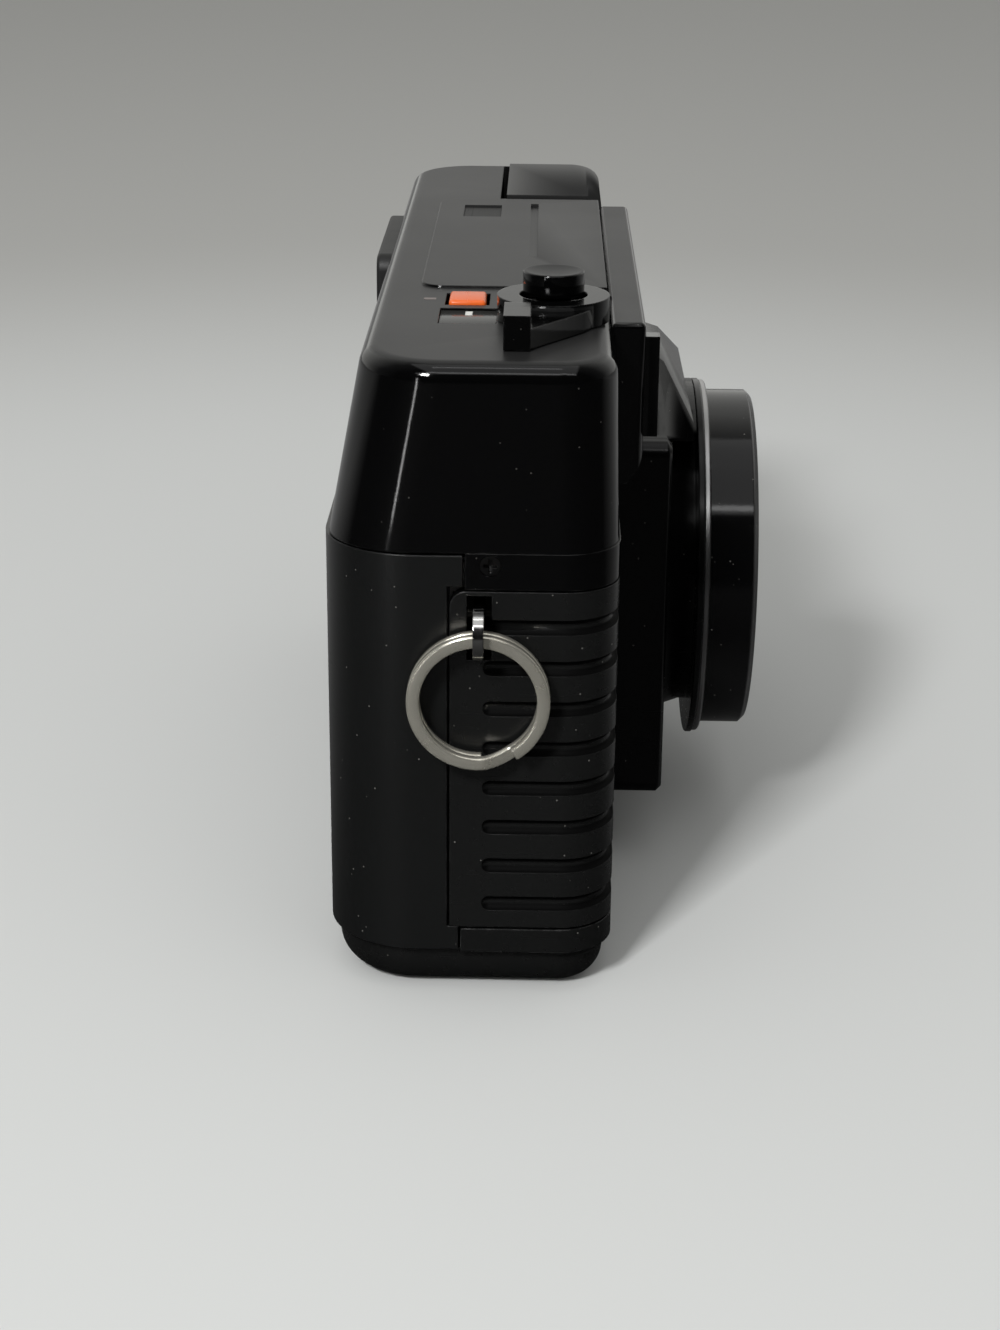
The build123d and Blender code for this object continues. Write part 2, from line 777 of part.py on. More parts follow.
# The pressure plate, and the two bowed leaf springs that carry it on the door
plate_depths = (film_depth - rail_height - pressure_plate_thickness, film_depth - rail_height)
plate_runs = (axis_run - pressure_plate_size[0] / 2, axis_run + pressure_plate_size[0] / 2)
plate_heights = (axis_height - pressure_plate_size[1] / 2, axis_height + pressure_plate_size[1] / 2)
with BuildPart() as pressure_plate:
    block(plate_depths, plate_runs, plate_heights)
    fillet(pressure_plate.edges().filter_by(Axis.X), 2)
pressure_plate.part.label = "pressure_plate"
export_step(pressure_plate.part, "parts/pressure_plate.step")

leaf_thickness = 0.3
leaf_span = 26.0
leaf_rise = plate_depths[0] - wall
with BuildPart() as pressure_springs:
    for height in (axis_height - 9, axis_height + 9):
        with BuildSketch(Plane.XY.offset(height - 3)) as leaf:
            with BuildLine():
                low = depth(wall)
                high = depth(plate_depths[0])
                ends = (run(axis_run - leaf_span / 2), run(axis_run + leaf_span / 2))
                ThreePointArc((low, ends[0]), (high, run(axis_run)), (low, ends[1]))
                Line((low, ends[1]), (low, ends[1] - 2))
                ThreePointArc(
                    (low, ends[1] - 2),
                    (high - leaf_thickness, run(axis_run)),
                    (low, ends[0] + 2),
                )
                Line((low, ends[0] + 2), (low, ends[0]))
            make_face()
        extrude(leaf.sketch, amount=6)
pressure_springs.part.label = "pressure_springs"
export_step(pressure_springs.part, "parts/pressure_springs.step")

# The door latch: a knob in the base, and a bar with a tongue behind the lug of the door
bar_heights = (wall + seat_gap, wall + seat_gap + 0.8)
with BuildPart() as door_latch:
    block(latch_knob_depths, latch_knob_runs, (0.3, bar_heights[0]))
    for ridge in range(4):
        place = latch_knob_runs[0] + 1.2 + 1.5 * ridge
        block(latch_knob_depths, (place, place + 0.6), (0.3, 0.6), mode=Mode.SUBTRACT)
    block(
        (latch_knob_depths[0] - 1, latch_knob_depths[1] + 1),
        (latch_knob_runs[0] - 1.6, latch_knob_runs[1] + 1.6),
        bar_heights,
    )
    block(latch_bar_depths, (latch_knob_runs[1], latch_tongue_run + 2), bar_heights)
    block(
        (latch_bar_depths[0], latch_bar_depths[0] + 1.2),
        (latch_tongue_run, latch_tongue_run + 2),
        (bar_heights[0], door_heights[0] + 1.5),
    )
door_latch.part.label = "door_latch"
export_step(door_latch.part, "parts/door_latch.step")

# The top cover: a shell whose back leans forward, with a raised panel on top
well_depths = (flash_depths[0] - flash_side_gap, case_depth + 1)
well_runs = (flash_runs[0] - flash_near_gap, flash_runs[1] + moving_gap)
ceiling = case_height - wall
cover_shape = cover_block(0, case_height, cover_edge_radius)
with BuildPart() as top_cover:
    add(cover_shape)
    with BuildSketch(Plane.XY.offset(ceiling)) as panel:
        with Locations((depth(sum(panel_depths) / 2), run(sum(panel_runs) / 2))):
            Rectangle(panel_depths[1] - panel_depths[0], panel_runs[1] - panel_runs[0])
        fillet(panel.vertices().group_by(Axis.X)[0], panel_corner_radius)
    extrude(panel.sketch, amount=wall + panel_rise)
    fillet(top_cover.edges().group_by(Axis.Z)[-1], panel_edge_radius)
    add(cover_block(wall, ceiling, 0), mode=Mode.SUBTRACT)
    block(
        (groove_depth_at - groove_width / 2, groove_depth_at + groove_width / 2),
        (groove_start_run, panel_runs[1] - 4.0),
        (case_height + panel_rise - groove_sink, case_height + 2),
        mode=Mode.SUBTRACT,
    )
    # The flash well in the far front corner
    block(
        (well_depths[0] - well_wall, inner_front + 0.2),
        (well_runs[0] - well_wall, inner_far + 0.2),
        (well_floor - well_wall, ceiling + 0.2),
    )
    block(well_depths, well_runs, (well_floor, case_height + 5), mode=Mode.SUBTRACT)
    # The opening behind the finder housing, and the one for the eyepiece
    block(
        (inner_front - 1, case_depth + 1),
        (housing_runs[0] + opening_margin, housing_runs[1] - opening_margin),
        (rib_heights[0] - 1, case_height - cover_edge_radius - 0.4),
        mode=Mode.SUBTRACT,
    )
    block(
        (-1, eyepiece_front + 3),
        (eyepiece_runs[0] + eyepiece_rim - 0.3, eyepiece_runs[1] - eyepiece_rim + 0.3),
        (eyepiece_heights[0] + eyepiece_rim - 0.2, eyepiece_heights[1] - 1.4),
        mode=Mode.SUBTRACT,
    )
    # The shutter button's collar and bore
    upright(button_depth, button_run, (ceiling - 3, collar_top), collar_radius)
    upright(
        button_depth,
        button_run,
        (ceiling - 4, collar_top + 1),
        button_stem_radius + shaft_gap,
        mode=Mode.SUBTRACT,
    )
    # The slot of the push button and the seats of the two windows
    block(
        (push_depths[0] - push_gap, push_depths[1] + push_gap),
        (push_runs[0] - push_gap, push_runs[1] + push_gap),
        (ceiling - 1, case_height + 1),
        mode=Mode.SUBTRACT,
    )
    for depths, runs, top in (
        (counter_depths, counter_runs, case_height),
        (indicator_depths, indicator_runs, case_height + panel_rise),
    ):
        block(depths, runs, (top - 1.1, top + 1), mode=Mode.SUBTRACT)
        block(
            (depths[0] + 0.8, depths[1] - 0.8),
            (runs[0] + 0.8, runs[1] - 0.8),
            (ceiling - 1, top),
            mode=Mode.SUBTRACT,
        )
top_cover.part.label = "top_cover"
export_step(top_cover.part, "parts/top_cover.step")

for name, depths, runs, top in (
    ("counter_window", counter_depths, counter_runs, case_height),
    ("indicator_window", indicator_depths, indicator_runs, case_height + panel_rise),
):
    with BuildPart() as pane:
        block(depths, runs, (top - 1.1, top - pane_sink))
    pane.part.label = name
    export_step(pane.part, f"parts/{name}.step")

# The finder housing on the upper front: a chin that slopes back, and a short rib at its near end
with BuildPart() as finder_housing:
    with BuildSketch(Plane((0, run(housing_runs[0]), 0), x_dir=(1, 0, 0), z_dir=(0, -1, 0))) as side:
        with BuildLine():
            Polyline(
                (depth(case_depth - 1.2), housing_heights[0]),
                (depth(case_depth + 1.0), housing_heights[0]),
                (depth(housing_front - 0.4), housing_chin_height - 2.6),
                (depth(housing_front), housing_chin_height - 1.2),
                (depth(housing_front), housing_heights[1]),
                (depth(case_depth - 1.2), housing_heights[1]),
                close=True,
            )
        make_face()
    extrude(side.sketch, amount=-(housing_runs[1] - housing_runs[0]))
    fillet(finder_housing.edges().filter_by(Axis.Z).group_by(Axis.X)[-1], housing_edge_radius)
    fillet(finder_housing.edges().group_by(Axis.Z)[-1], housing_edge_radius)
    block((housing_front - 1, rib_front), rib_runs, rib_heights)
    finder_window_runs = (finder_run - finder_window_width / 2, finder_run + finder_window_width / 2)
    finder_window_heights = (
        finder_height - finder_window_height / 2,
        finder_height + finder_window_height / 2,
    )
    block((0, case_depth + 9), finder_window_runs, finder_window_heights, mode=Mode.SUBTRACT)
    focus_heights = (finder_height - focus_window_size / 2, finder_height + focus_window_size / 2)
    for place in focus_window_runs:
        runs = (place - focus_window_size / 2, place + focus_window_size / 2)
        block((0, case_depth + 9), runs, focus_heights, mode=Mode.SUBTRACT)
    # The cover's rounded upper edge passes under the housing's lip, and the lens block stands below.
    add(cover_shape, mode=Mode.SUBTRACT)
    block((0, base_block_front), base_block_runs, base_block_heights, mode=Mode.SUBTRACT)
finder_housing.part.label = "finder_housing"
export_step(finder_housing.part, "parts/finder_housing.step")

window_depths = (housing_front - 0.4 - window_thickness, housing_front - 0.4)
with BuildPart() as front_windows:
    block(window_depths, finder_window_runs, finder_window_heights)
    for place in focus_window_runs:
        runs = (place - focus_window_size / 2, place + focus_window_size / 2)
        block(window_depths, runs, focus_heights)
front_windows.part.label = "front_windows"
export_step(front_windows.part, "parts/front_windows.step")

# The focusing sensors behind the two small windows: short tubes with a lens at the front
with BuildPart() as focus_sensors:
    for place in focus_window_runs:
        forward(place, finder_height, (inner_front - 6, window_depths[0] - seat_gap), sensor_radius)
        hollow = (inner_front, window_depths[0])
        forward(place, finder_height, hollow, sensor_lens_radius, mode=Mode.SUBTRACT)
        forward(place, finder_height, (inner_front - 0.5, inner_front + 1.5), sensor_lens_radius)
focus_sensors.part.label = "focus_sensors"
export_step(focus_sensors.part, "parts/focus_sensors.step")

# The finder: a straight box tunnel with a lens at each end
with BuildPart() as finder_tunnel:
    block(
        tunnel_depths,
        (finder_window_runs[0] - finder_wall, finder_window_runs[1] + finder_wall),
        (finder_window_heights[0] - finder_wall, finder_window_heights[1] + finder_wall),
    )
    block((0, case_depth), finder_window_runs, finder_window_heights, mode=Mode.SUBTRACT)
finder_tunnel.part.label = "finder_tunnel"
export_step(finder_tunnel.part, "parts/finder_tunnel.step")

with BuildPart() as finder_objective:
    with BuildSketch(Plane.XY.offset(finder_window_heights[0])) as glass:
        with BuildLine():
            near = run(finder_window_runs[0])
            far = run(finder_window_runs[1])
            back = depth(tunnel_depths[1] - 4.2)
            front = depth(tunnel_depths[1] - 0.8)
            Line((back, near), (front, near))
            ThreePointArc((front, near), (front - 1.2, (near + far) / 2), (front, far))
            Line((front, far), (back, far))
            Line((back, far), (back, near))
        make_face()
    extrude(glass.sketch, amount=finder_window_height)
finder_objective.part.label = "finder_objective"
export_step(finder_objective.part, "parts/finder_objective.step")

# The eyepiece frame stands out from the leaning back of the top cover.
opening_runs = (finder_run - eyepiece_opening[0] / 2, finder_run + eyepiece_opening[0] / 2)
opening_heights = (finder_height - eyepiece_opening[1] / 2, finder_height + eyepiece_opening[1] / 2)
with BuildPart() as eyepiece_frame:
    block((eyepiece_back, eyepiece_front), eyepiece_runs, eyepiece_heights)
    fillet(eyepiece_frame.edges().filter_by(Axis.X), eyepiece_corner_radius)
    fillet(eyepiece_frame.edges().group_by(Axis.X)[0], eyepiece_edge_radius)
    add(cover_shape, mode=Mode.SUBTRACT)
    block(
        (eyepiece_back + eyepiece_seat, tunnel_depths[0] - seat_gap),
        (eyepiece_runs[0] + eyepiece_rim, eyepiece_runs[1] - eyepiece_rim),
        (eyepiece_heights[0] + eyepiece_rim, eyepiece_heights[1] - 1.6),
    )
    block((0, case_depth), opening_runs, opening_heights, mode=Mode.SUBTRACT)
eyepiece_frame.part.label = "eyepiece_frame"
export_step(eyepiece_frame.part, "parts/eyepiece_frame.step")

with BuildPart() as eyepiece_lens:
    block(
        (eyepiece_back + 1.4, eyepiece_back + 3.4),
        opening_runs,
        opening_heights,
    )
eyepiece_lens.part.label = "eyepiece_lens"
export_step(eyepiece_lens.part, "parts/eyepiece_lens.step")

# The lens base block on the front, with the sloping fairing over it
fairing_foot = base_block_heights[1] - 0.5
with BuildPart() as fairing:
    with BuildSketch(Plane.YZ.offset(depth(housing_front))) as face:
        with BuildLine():
            Polyline(
                (run(axis_run - fairing_widths[0] / 2), fairing_foot),
                (run(axis_run + fairing_widths[0] / 2), fairing_foot),
                (run(axis_run + fairing_widths[1] / 2), fairing_top),
                (run(axis_run - fairing_widths[1] / 2), fairing_top),
                close=True,
            )
        make_face()
    extrude(face.sketch, amount=fairing_front - housing_front)
    with BuildSketch(Plane((0, run(0), 0), x_dir=(1, 0, 0), z_dir=(0, -1, 0))) as slope:
        with BuildLine():
            Polyline(
                (depth(housing_front), fairing_top),
                (depth(fairing_crest[0]), fairing_crest[1]),
                (depth(fairing_front), axis_height + barrel_radius),
                (depth(fairing_front), fairing_top + 3),
                (depth(housing_front), fairing_top + 3),
                close=True,
            )
        make_face()
    extrude(slope.sketch, amount=-case_length, mode=Mode.SUBTRACT)
    hood_depths = (base_block_front, barrel_front - barrel_flange - seat_gap)
    forward(axis_run, axis_height, hood_depths, barrel_radius)
    hood_foot = axis_height + (barrel_radius ** 2 - (hood_width / 2) ** 2) ** 0.5
    block((base_block_front, barrel_front), base_block_runs, (0, hood_foot), mode=Mode.SUBTRACT)

with BuildPart() as lens_base:
    with BuildSketch(Plane.YZ.offset(depth(case_depth))) as face:
        with Locations((run(sum(base_block_runs) / 2), sum(base_block_heights) / 2)):
            RectangleRounded(
                base_block_runs[1] - base_block_runs[0],
                base_block_heights[1] - base_block_heights[0],
                base_block_radius,
            )
    extrude(face.sketch, amount=base_block_front - case_depth)
    chamfer(lens_base.edges().group_by(Axis.X)[-1], 0.7)
    add(fairing.part)
    forward(axis_run, axis_height, (0, case_depth + 30), lens_bore_radius, mode=Mode.SUBTRACT)
lens_base.part.label = "lens_base"
export_step(lens_base.part, "parts/lens_base.step")


def turned(points):
    """A closed outline of (depth, radius) points about the lens axis, ready to revolve."""
    with BuildSketch(Plane((0, run(axis_run), axis_height), x_dir=(1, 0, 0), z_dir=(0, -1, 0))) as outline:
        with BuildLine():
            Polyline(*[(depth(place), radius) for place, radius in points], close=True)
        make_face()
    return outline.sketch


lens_axis = Axis((0, run(axis_run), axis_height), (1, 0, 0))

with BuildPart() as lens_barrel:
    profile = turned(
        (
            (base_block_front, lens_bore_radius + 0.5),
            (base_block_front, barrel_body_radius),
            (barrel_front - barrel_flange - 1, barrel_neck_radius),
            (barrel_front - barrel_flange, barrel_neck_radius),
            (barrel_front - barrel_flange, barrel_radius - 0.1),
            (barrel_front - barrel_flange + 0.1, barrel_radius),
            (barrel_front - 0.2, barrel_radius),
            (barrel_front, barrel_radius - 0.2),
            (barrel_front, lens_bore_radius + 0.5),
        )
    )
    revolve(profile, axis=lens_axis)
lens_barrel.part.label = "lens_barrel"
export_step(lens_barrel.part, "parts/lens_barrel.step")

trim_front = barrel_front + trim_width
with BuildPart() as trim_ring:
    profile = turned(
        (
            (barrel_front, lens_bore_radius),
            (barrel_front, trim_radius),
            (trim_front - 0.2, trim_radius),
            (trim_front, trim_radius - 0.2),
            (trim_front, lens_bore_radius),
        )
    )
    revolve(profile, axis=lens_axis)
trim_ring.part.label = "trim_ring"
export_step(trim_ring.part, "parts/trim_ring.step")

# The front ring: a short cylinder with a stepped funnel inside it, down to the glass
with BuildPart() as front_ring:
    profile = turned(
        (
            (trim_front, front_ring_throat_radius),
            (trim_front, front_ring_radius),
            (front_ring_front - 0.7, front_ring_radius),
            (front_ring_front, front_ring_radius - 0.7),
            (front_ring_front, front_ring_lip_radius),
            (front_ring_front - 1.2, front_ring_lip_radius - 0.4),
            (front_ring_front - 1.2, front_ring_lip_radius - 1.6),
            (trim_front + 1.6, front_ring_throat_radius + 1.2),
            (trim_front + 1.6, front_ring_throat_radius),
        )
    )
    revolve(profile, axis=lens_axis)
front_ring.part.label = "front_ring"
export_step(front_ring.part, "parts/front_ring.step")

# Inside the lens: a fixed guide tube, the focusing mount that slides in it, and two glasses
plate_front = tunnel_front_depth + front_plate_thickness
shutter_depths = (plate_front, plate_front + shutter_thickness)
guide_back = shutter_depths[1] + 1.0
with BuildPart() as lens_guide:
    forward(axis_run, axis_height, (guide_back, trim_front), guide_radius)
    forward(
        axis_run,
        axis_height,
        (guide_back, guide_back + guide_flange_thickness),
        guide_flange_radius,
    )
    forward(axis_run, axis_height, (shutter_depths[1], guide_back), guide_flange_radius)
    forward(
        axis_run,
        axis_height,
        (0, trim_front + 1),
        guide_radius - guide_wall,
        mode=Mode.SUBTRACT,
    )
    forward(
        axis_run,
        axis_height,
        (shutter_depths[1], guide_back),
        guide_flange_radius - 1,
        mode=Mode.SUBTRACT,
    )
lens_guide.part.label = "lens_guide"
export_step(lens_guide.part, "parts/lens_guide.step")

focus_travel = 1.2
mount_radius = guide_radius - guide_wall - shaft_gap
mount_depths = (barrel_front - 0.6 - mount_length, barrel_front - 0.6)
with BuildPart() as focus_mount:
    forward(axis_run, axis_height, mount_depths, mount_radius)
    forward(
        axis_run,
        axis_height,
        (0, case_depth + 30),
        front_glass_radius,
        mode=Mode.SUBTRACT,
    )
    for step in range(4):
        place = mount_depths[1] - 0.6 - 0.9 * step
        forward(
            axis_run,
            axis_height,
            (place, mount_depths[1] + 1),
            front_glass_radius + 2.6 - 0.5 * step,
            mode=Mode.SUBTRACT,
        )
focus_mount.part.label = "focus_mount"
export_step(focus_mount.part, "parts/focus_mount.step")


def glass(back, thickness, radius, front_bulge, rear_bulge):
    """A round glass with a curved front and back, on the lens axis."""
    with BuildSketch(Plane((0, run(axis_run), axis_height), x_dir=(1, 0, 0), z_dir=(0, -1, 0))) as section:
        with BuildLine():
            front = back + thickness
            Line((depth(back - rear_bulge), 0), (depth(front + front_bulge), 0))
            RadiusArc(
                (depth(front), radius),
                (depth(front + front_bulge), 0),
                (radius**2 + front_bulge**2) / (2 * front_bulge),
            )
            Line((depth(front), radius), (depth(back), radius))
            RadiusArc(
                (depth(back - rear_bulge), 0),
                (depth(back), radius),
                (radius**2 + rear_bulge**2) / (2 * rear_bulge),
            )
        make_face()
    return section.sketch


glass_radius = front_glass_radius - glass_gap
front_glass_back = mount_depths[1] - 4.4 - front_glass_thickness
with BuildPart() as front_glass:
    revolve(glass(front_glass_back, front_glass_thickness, glass_radius, 1.6, 0.5), axis=lens_axis)
front_glass.part.label = "front_glass"
export_step(front_glass.part, "parts/front_glass.step")

rear_glass_back = mount_depths[0] + 1.4
with BuildPart() as rear_glass:
    revolve(glass(rear_glass_back, rear_glass_thickness, glass_radius, 0.5, 1.0), axis=lens_axis)
rear_glass.part.label = "rear_glass"
export_step(rear_glass.part, "parts/rear_glass.step")

# The shutter: a plate with an opening and two blades on pins
with BuildPart() as shutter_plate:
    forward(axis_run, axis_height, shutter_depths, shutter_radius)
    forward(axis_run, axis_height, (0, case_depth), shutter_opening_radius, mode=Mode.SUBTRACT)
    for side in (-1, 1):
        forward(
            axis_run + side * blade_pivot_radius,
            axis_height,
            (shutter_depths[0], shutter_depths[1] + 0.9),
            blade_pin_radius,
        )
shutter_plate.part.label = "shutter_plate"
export_step(shutter_plate.part, "parts/shutter_plate.step")

# Each blade covers its own half of the opening and swings clear of it about its pin.
for name, side, level in (("shutter_blade_near", -1, 0), ("shutter_blade_far", 1, 1)):
    blade_back = shutter_depths[1] + 0.08 + level * (blade_thickness + 0.1)
    with BuildPart() as shutter_blade:
        with BuildSketch(lens_plane.offset(blade_back)) as shape:
            Circle(shutter_opening_radius + 0.8)
            with Locations((-side * 9.4, 0)):
                Rectangle(18, 20, mode=Mode.SUBTRACT)
            with BuildLine():
                Polyline(
                    (side * 2.0, 8.0),
                    (side * blade_pivot_radius, 1.6),
                    (side * blade_pivot_radius, -1.6),
                    (side * 2.0, -8.0),
                    close=True,
                )
            make_face()
            with Locations((side * blade_pivot_radius, 0)):
                Circle(1.8)
                Circle(blade_pin_radius + shaft_gap, mode=Mode.SUBTRACT)
        extrude(shape.sketch, amount=blade_thickness)
    shutter_blade.part.label = name
    export_step(shutter_blade.part, f"parts/{name}.step")

# The shutter button: a dished cap on a stem, in the collar of the top cover
flange_thickness = 1.0
stem_bottom = ceiling - 3 - seat_gap - flange_thickness
with BuildPart() as shutter_button:
    upright(button_depth, button_run, (button_top - button_cap_thickness, button_top), button_radius)
    fillet(shutter_button.edges().group_by(Axis.Z)[-1], 0.3)
    dish_radius = (button_radius**2 + button_dish**2) / (2 * button_dish)
    with Locations((depth(button_depth), run(button_run), button_top + dish_radius - button_dish)):
        Sphere(dish_radius * 0.985, mode=Mode.SUBTRACT)
    upright(
        button_depth,
        button_run,
        (stem_bottom, button_top - button_cap_thickness + 0.5),
        button_stem_radius,
    )
    upright(button_depth, button_run, (stem_bottom, stem_bottom + flange_thickness), 3.2)
shutter_button.part.label = "shutter_button"
export_step(shutter_button.part, "parts/shutter_button.step")

# The button's spring stands on the release switch and is squeezed as the button goes down.
switch_top = stem_bottom - switch_drop
with BuildPart() as shutter_spring:
    upright(button_depth, button_run, (switch_top, stem_bottom), 2.6)
    upright(button_depth, button_run, (switch_top, stem_bottom), 1.9, mode=Mode.SUBTRACT)
shutter_spring.part.label = "shutter_spring"
export_step(shutter_spring.part, "parts/shutter_spring.step")

# The lever ring turns about the collar. Its arm runs tangent to the ring, to an upright finger tab.
lever_bottom = case_height + 0.15
with BuildPart() as lever_ring:
    upright(button_depth, button_run, (lever_bottom, lever_top), lever_radius)
    with BuildSketch(Plane.XY.offset(lever_bottom)) as arm:
        with BuildLine():
            Polyline(
                (depth(lever_arm_end[0]), run(lever_arm_end[1])),
                (depth(lever_arm_join[0]), run(lever_arm_join[1])),
                (depth(button_depth + lever_radius), run(button_run)),
                (depth(button_depth), run(button_run)),
                (depth(lever_tab_depths[0]), run(lever_tab_runs[1])),
                (depth(lever_tab_depths[0]), run(lever_tab_runs[0])),
                close=True,
            )
        make_face()
    extrude(arm.sketch, amount=lever_top - lever_bottom - 0.6)
    block(lever_tab_depths, lever_tab_runs, (lever_bottom, lever_tab_top))
    upright(
        button_depth,
        button_run,
        (lever_bottom - 1, lever_top + 3),
        collar_radius + shaft_gap,
        mode=Mode.SUBTRACT,
    )
lever_ring.part.label = "lever_ring"
export_step(lever_ring.part, "parts/lever_ring.step")

# The push button, with a foot that keeps it in its slot
push_top = case_height + push_rise
with BuildPart() as push_button:
    block(push_depths, push_runs, (push_top - push_length, push_top))
    fillet(push_button.edges().group_by(Axis.Z)[-1], 0.4)
    block(
        (push_depths[0] - 0.9, push_depths[1] + 0.9),
        (push_runs[0] - 0.9, push_runs[1] + 0.9),
        (ceiling - 1.6, ceiling - 0.9),
    )
push_button.part.label = "push_button"
export_step(push_button.part, "parts/push_button.step")

# The frame counter dial turns under its window on a pin of the circuit board's bracket.
dial_pin_radius = 1.2
with BuildPart() as counter_dial:
    upright(dial_depth, dial_run, (dial_height, dial_height + dial_thickness), dial_radius)
    upright(dial_depth, dial_run, (dial_height - dial_hub_length, dial_height), dial_hub_radius)
    upright(
        dial_depth,
        dial_run,
        (dial_height - dial_hub_length - 1, dial_height + 2),
        dial_pin_radius + shaft_gap,
        mode=Mode.SUBTRACT,
    )
counter_dial.part.label = "counter_dial"
export_step(counter_dial.part, "parts/counter_dial.step")

# The bracket that carries the dial's pin and the release switch
with BuildPart() as top_bracket:
    bracket_foot = roof_heights[1] + seat_gap
    block(bracket_depths, bracket_runs, (bracket_foot, bracket_foot + bracket_thickness))
    upright(dial_depth, dial_run, (roof_heights[1] + 0.5, dial_height + dial_thickness), dial_pin_radius)
    hub_bottom = dial_height - dial_hub_length - seat_gap
    upright(dial_depth, dial_run, (roof_heights[1] + 0.5, hub_bottom), dial_hub_radius)
    block(
        (button_depth - 3.4, button_depth + 3.4),
        (button_run - 1.9, button_run + 4.5),
        (roof_heights[1] + 0.5, switch_top),
    )
    upright(button_depth, button_run, (roof_heights[1] + 0.5, switch_top), 3.2)
top_bracket.part.label = "top_bracket"
export_step(top_bracket.part, "parts/top_bracket.step")

with BuildPart() as circuit_board:
    block(board_depths, board_runs, board_heights)
    post_heights = (roof_heights[1] + seat_gap, board_heights[0])
    post_runs = (board_runs[0] + board_post_inset, sum(board_runs) / 2, board_runs[1] - board_post_inset)
    for post_run in post_runs:
        for post_depth in board_post_depths:
            upright(post_depth, post_run, post_heights, board_post_radius)
    for count in range(board_chip_count):
        near = board_chip_start[1] + board_chip_pitch * count
        block(
            (board_chip_start[0], board_chip_start[0] + board_chip_size[0]),
            (near, near + board_chip_size[1]),
            (board_heights[1], board_heights[1] + board_chip_size[2]),
        )
circuit_board.part.label = "circuit_board"
export_step(circuit_board.part, "parts/circuit_board.step")

# The pop-up flash rises in its well. Its top and front follow the case when it is down.
with BuildPart() as flash_case:
    add(cover_block(0, flash_top, cover_edge_radius))
    block((-5, case_depth + 5), (-5, case_length + 5), (0, flash_floor), mode=Mode.SUBTRACT)
    block(
        (-5, flash_depths[0]),
        (-5, case_length + 5),
        (0, case_height + 5),
        mode=Mode.SUBTRACT,
    )
    block((0, case_depth + 5), (-5, flash_runs[0]), (0, case_height + 5), mode=Mode.SUBTRACT)
    block(
        (0, case_depth + 5),
        (flash_runs[1], case_length + 5),
        (0, case_height + 5),
        mode=Mode.SUBTRACT,
    )
    block(
        (flash_depths[0] + flash_wall, case_depth - flash_wall - 0.6),
        (flash_window_runs[0] - 1, flash_window_runs[1] + 1),
        (flash_window_heights[0] - 1, flash_window_heights[1] + 1),
        mode=Mode.SUBTRACT,
    )
    block(
        (case_depth - 3, case_depth + 1),
        flash_window_runs,
        flash_window_heights,
        mode=Mode.SUBTRACT,
    )
    upright(
        *flash_spring_at,
        (flash_floor - 1, flash_spring_top),
        flash_spring_radius + moving_gap,
        mode=Mode.SUBTRACT,
    )
flash_case.part.label = "flash_case"
export_step(flash_case.part, "parts/flash_case.step")

with BuildPart() as flash_spring:
    upright(*flash_spring_at, (well_floor, flash_spring_top), flash_spring_radius)
    upright(*flash_spring_at, (well_floor, flash_spring_top), flash_spring_radius - 0.5, mode=Mode.SUBTRACT)
flash_spring.part.label = "flash_spring"
export_step(flash_spring.part, "parts/flash_spring.step")

pane_front = case_depth - cover_front_high - pane_sink
pane_depths = (pane_front - flash_pane_thickness, pane_front)
with BuildPart() as flash_window:
    block(pane_depths, flash_window_runs, flash_window_heights)
flash_window.part.label = "flash_window"
export_step(flash_window.part, "parts/flash_window.step")

# The reflector: a trough whose back is rounded about the tube
tube_at = (flash_depths[0] + flash_wall + 4.0, sum(flash_window_heights) / 2)
reflector_front = case_depth - flash_wall - 0.6
with BuildPart() as flash_reflector:
    trough_plane = Plane((0, run(flash_window_runs[0]), tube_at[1]), x_dir=(1, 0, 0), z_dir=(0, -1, 0))
    lip = depth(reflector_front)
    mouth = (flash_window_heights[1] - flash_window_heights[0]) / 2 + 0.9
    with BuildSketch(trough_plane) as trough:
        with BuildLine():
            middle = depth(tube_at[0])
            inner = reflector_radius - reflector_wall
            Line((lip, mouth), (lip, mouth - reflector_wall))
            Line((lip, mouth - reflector_wall), (middle, inner))
            ThreePointArc((middle, inner), (middle - inner, 0), (middle, -inner))
            Line((middle, -inner), (lip, reflector_wall - mouth))
            Line((lip, reflector_wall - mouth), (lip, -mouth))
            Line((lip, -mouth), (middle, -reflector_radius))
            ThreePointArc(
                (middle, -reflector_radius),
                (middle - reflector_radius, 0),
                (middle, reflector_radius),
            )
            Line((middle, reflector_radius), (lip, mouth))
        make_face()
    extrude(trough.sketch, amount=flash_window_runs[0] - flash_window_runs[1])
flash_reflector.part.label = "flash_reflector"
export_step(flash_reflector.part, "parts/flash_reflector.step")

with BuildPart() as flash_tube:
    lengthwise(tube_at[0], tube_at[1], (flash_window_runs[0] - 1, flash_window_runs[1] + 1), tube_radius)
flash_tube.part.label = "flash_tube"
export_step(flash_tube.part, "parts/flash_tube.step")

with BuildPart() as capacitor:
    upright(
        *capacitor_at,
        (deck_heights[1] + seat_gap, deck_heights[1] + seat_gap + capacitor_length),
        capacitor_radius,
    )
    fillet(capacitor.edges(), 0.8)
capacitor.part.label = "capacitor"
export_step(capacitor.part, "parts/capacitor.step")

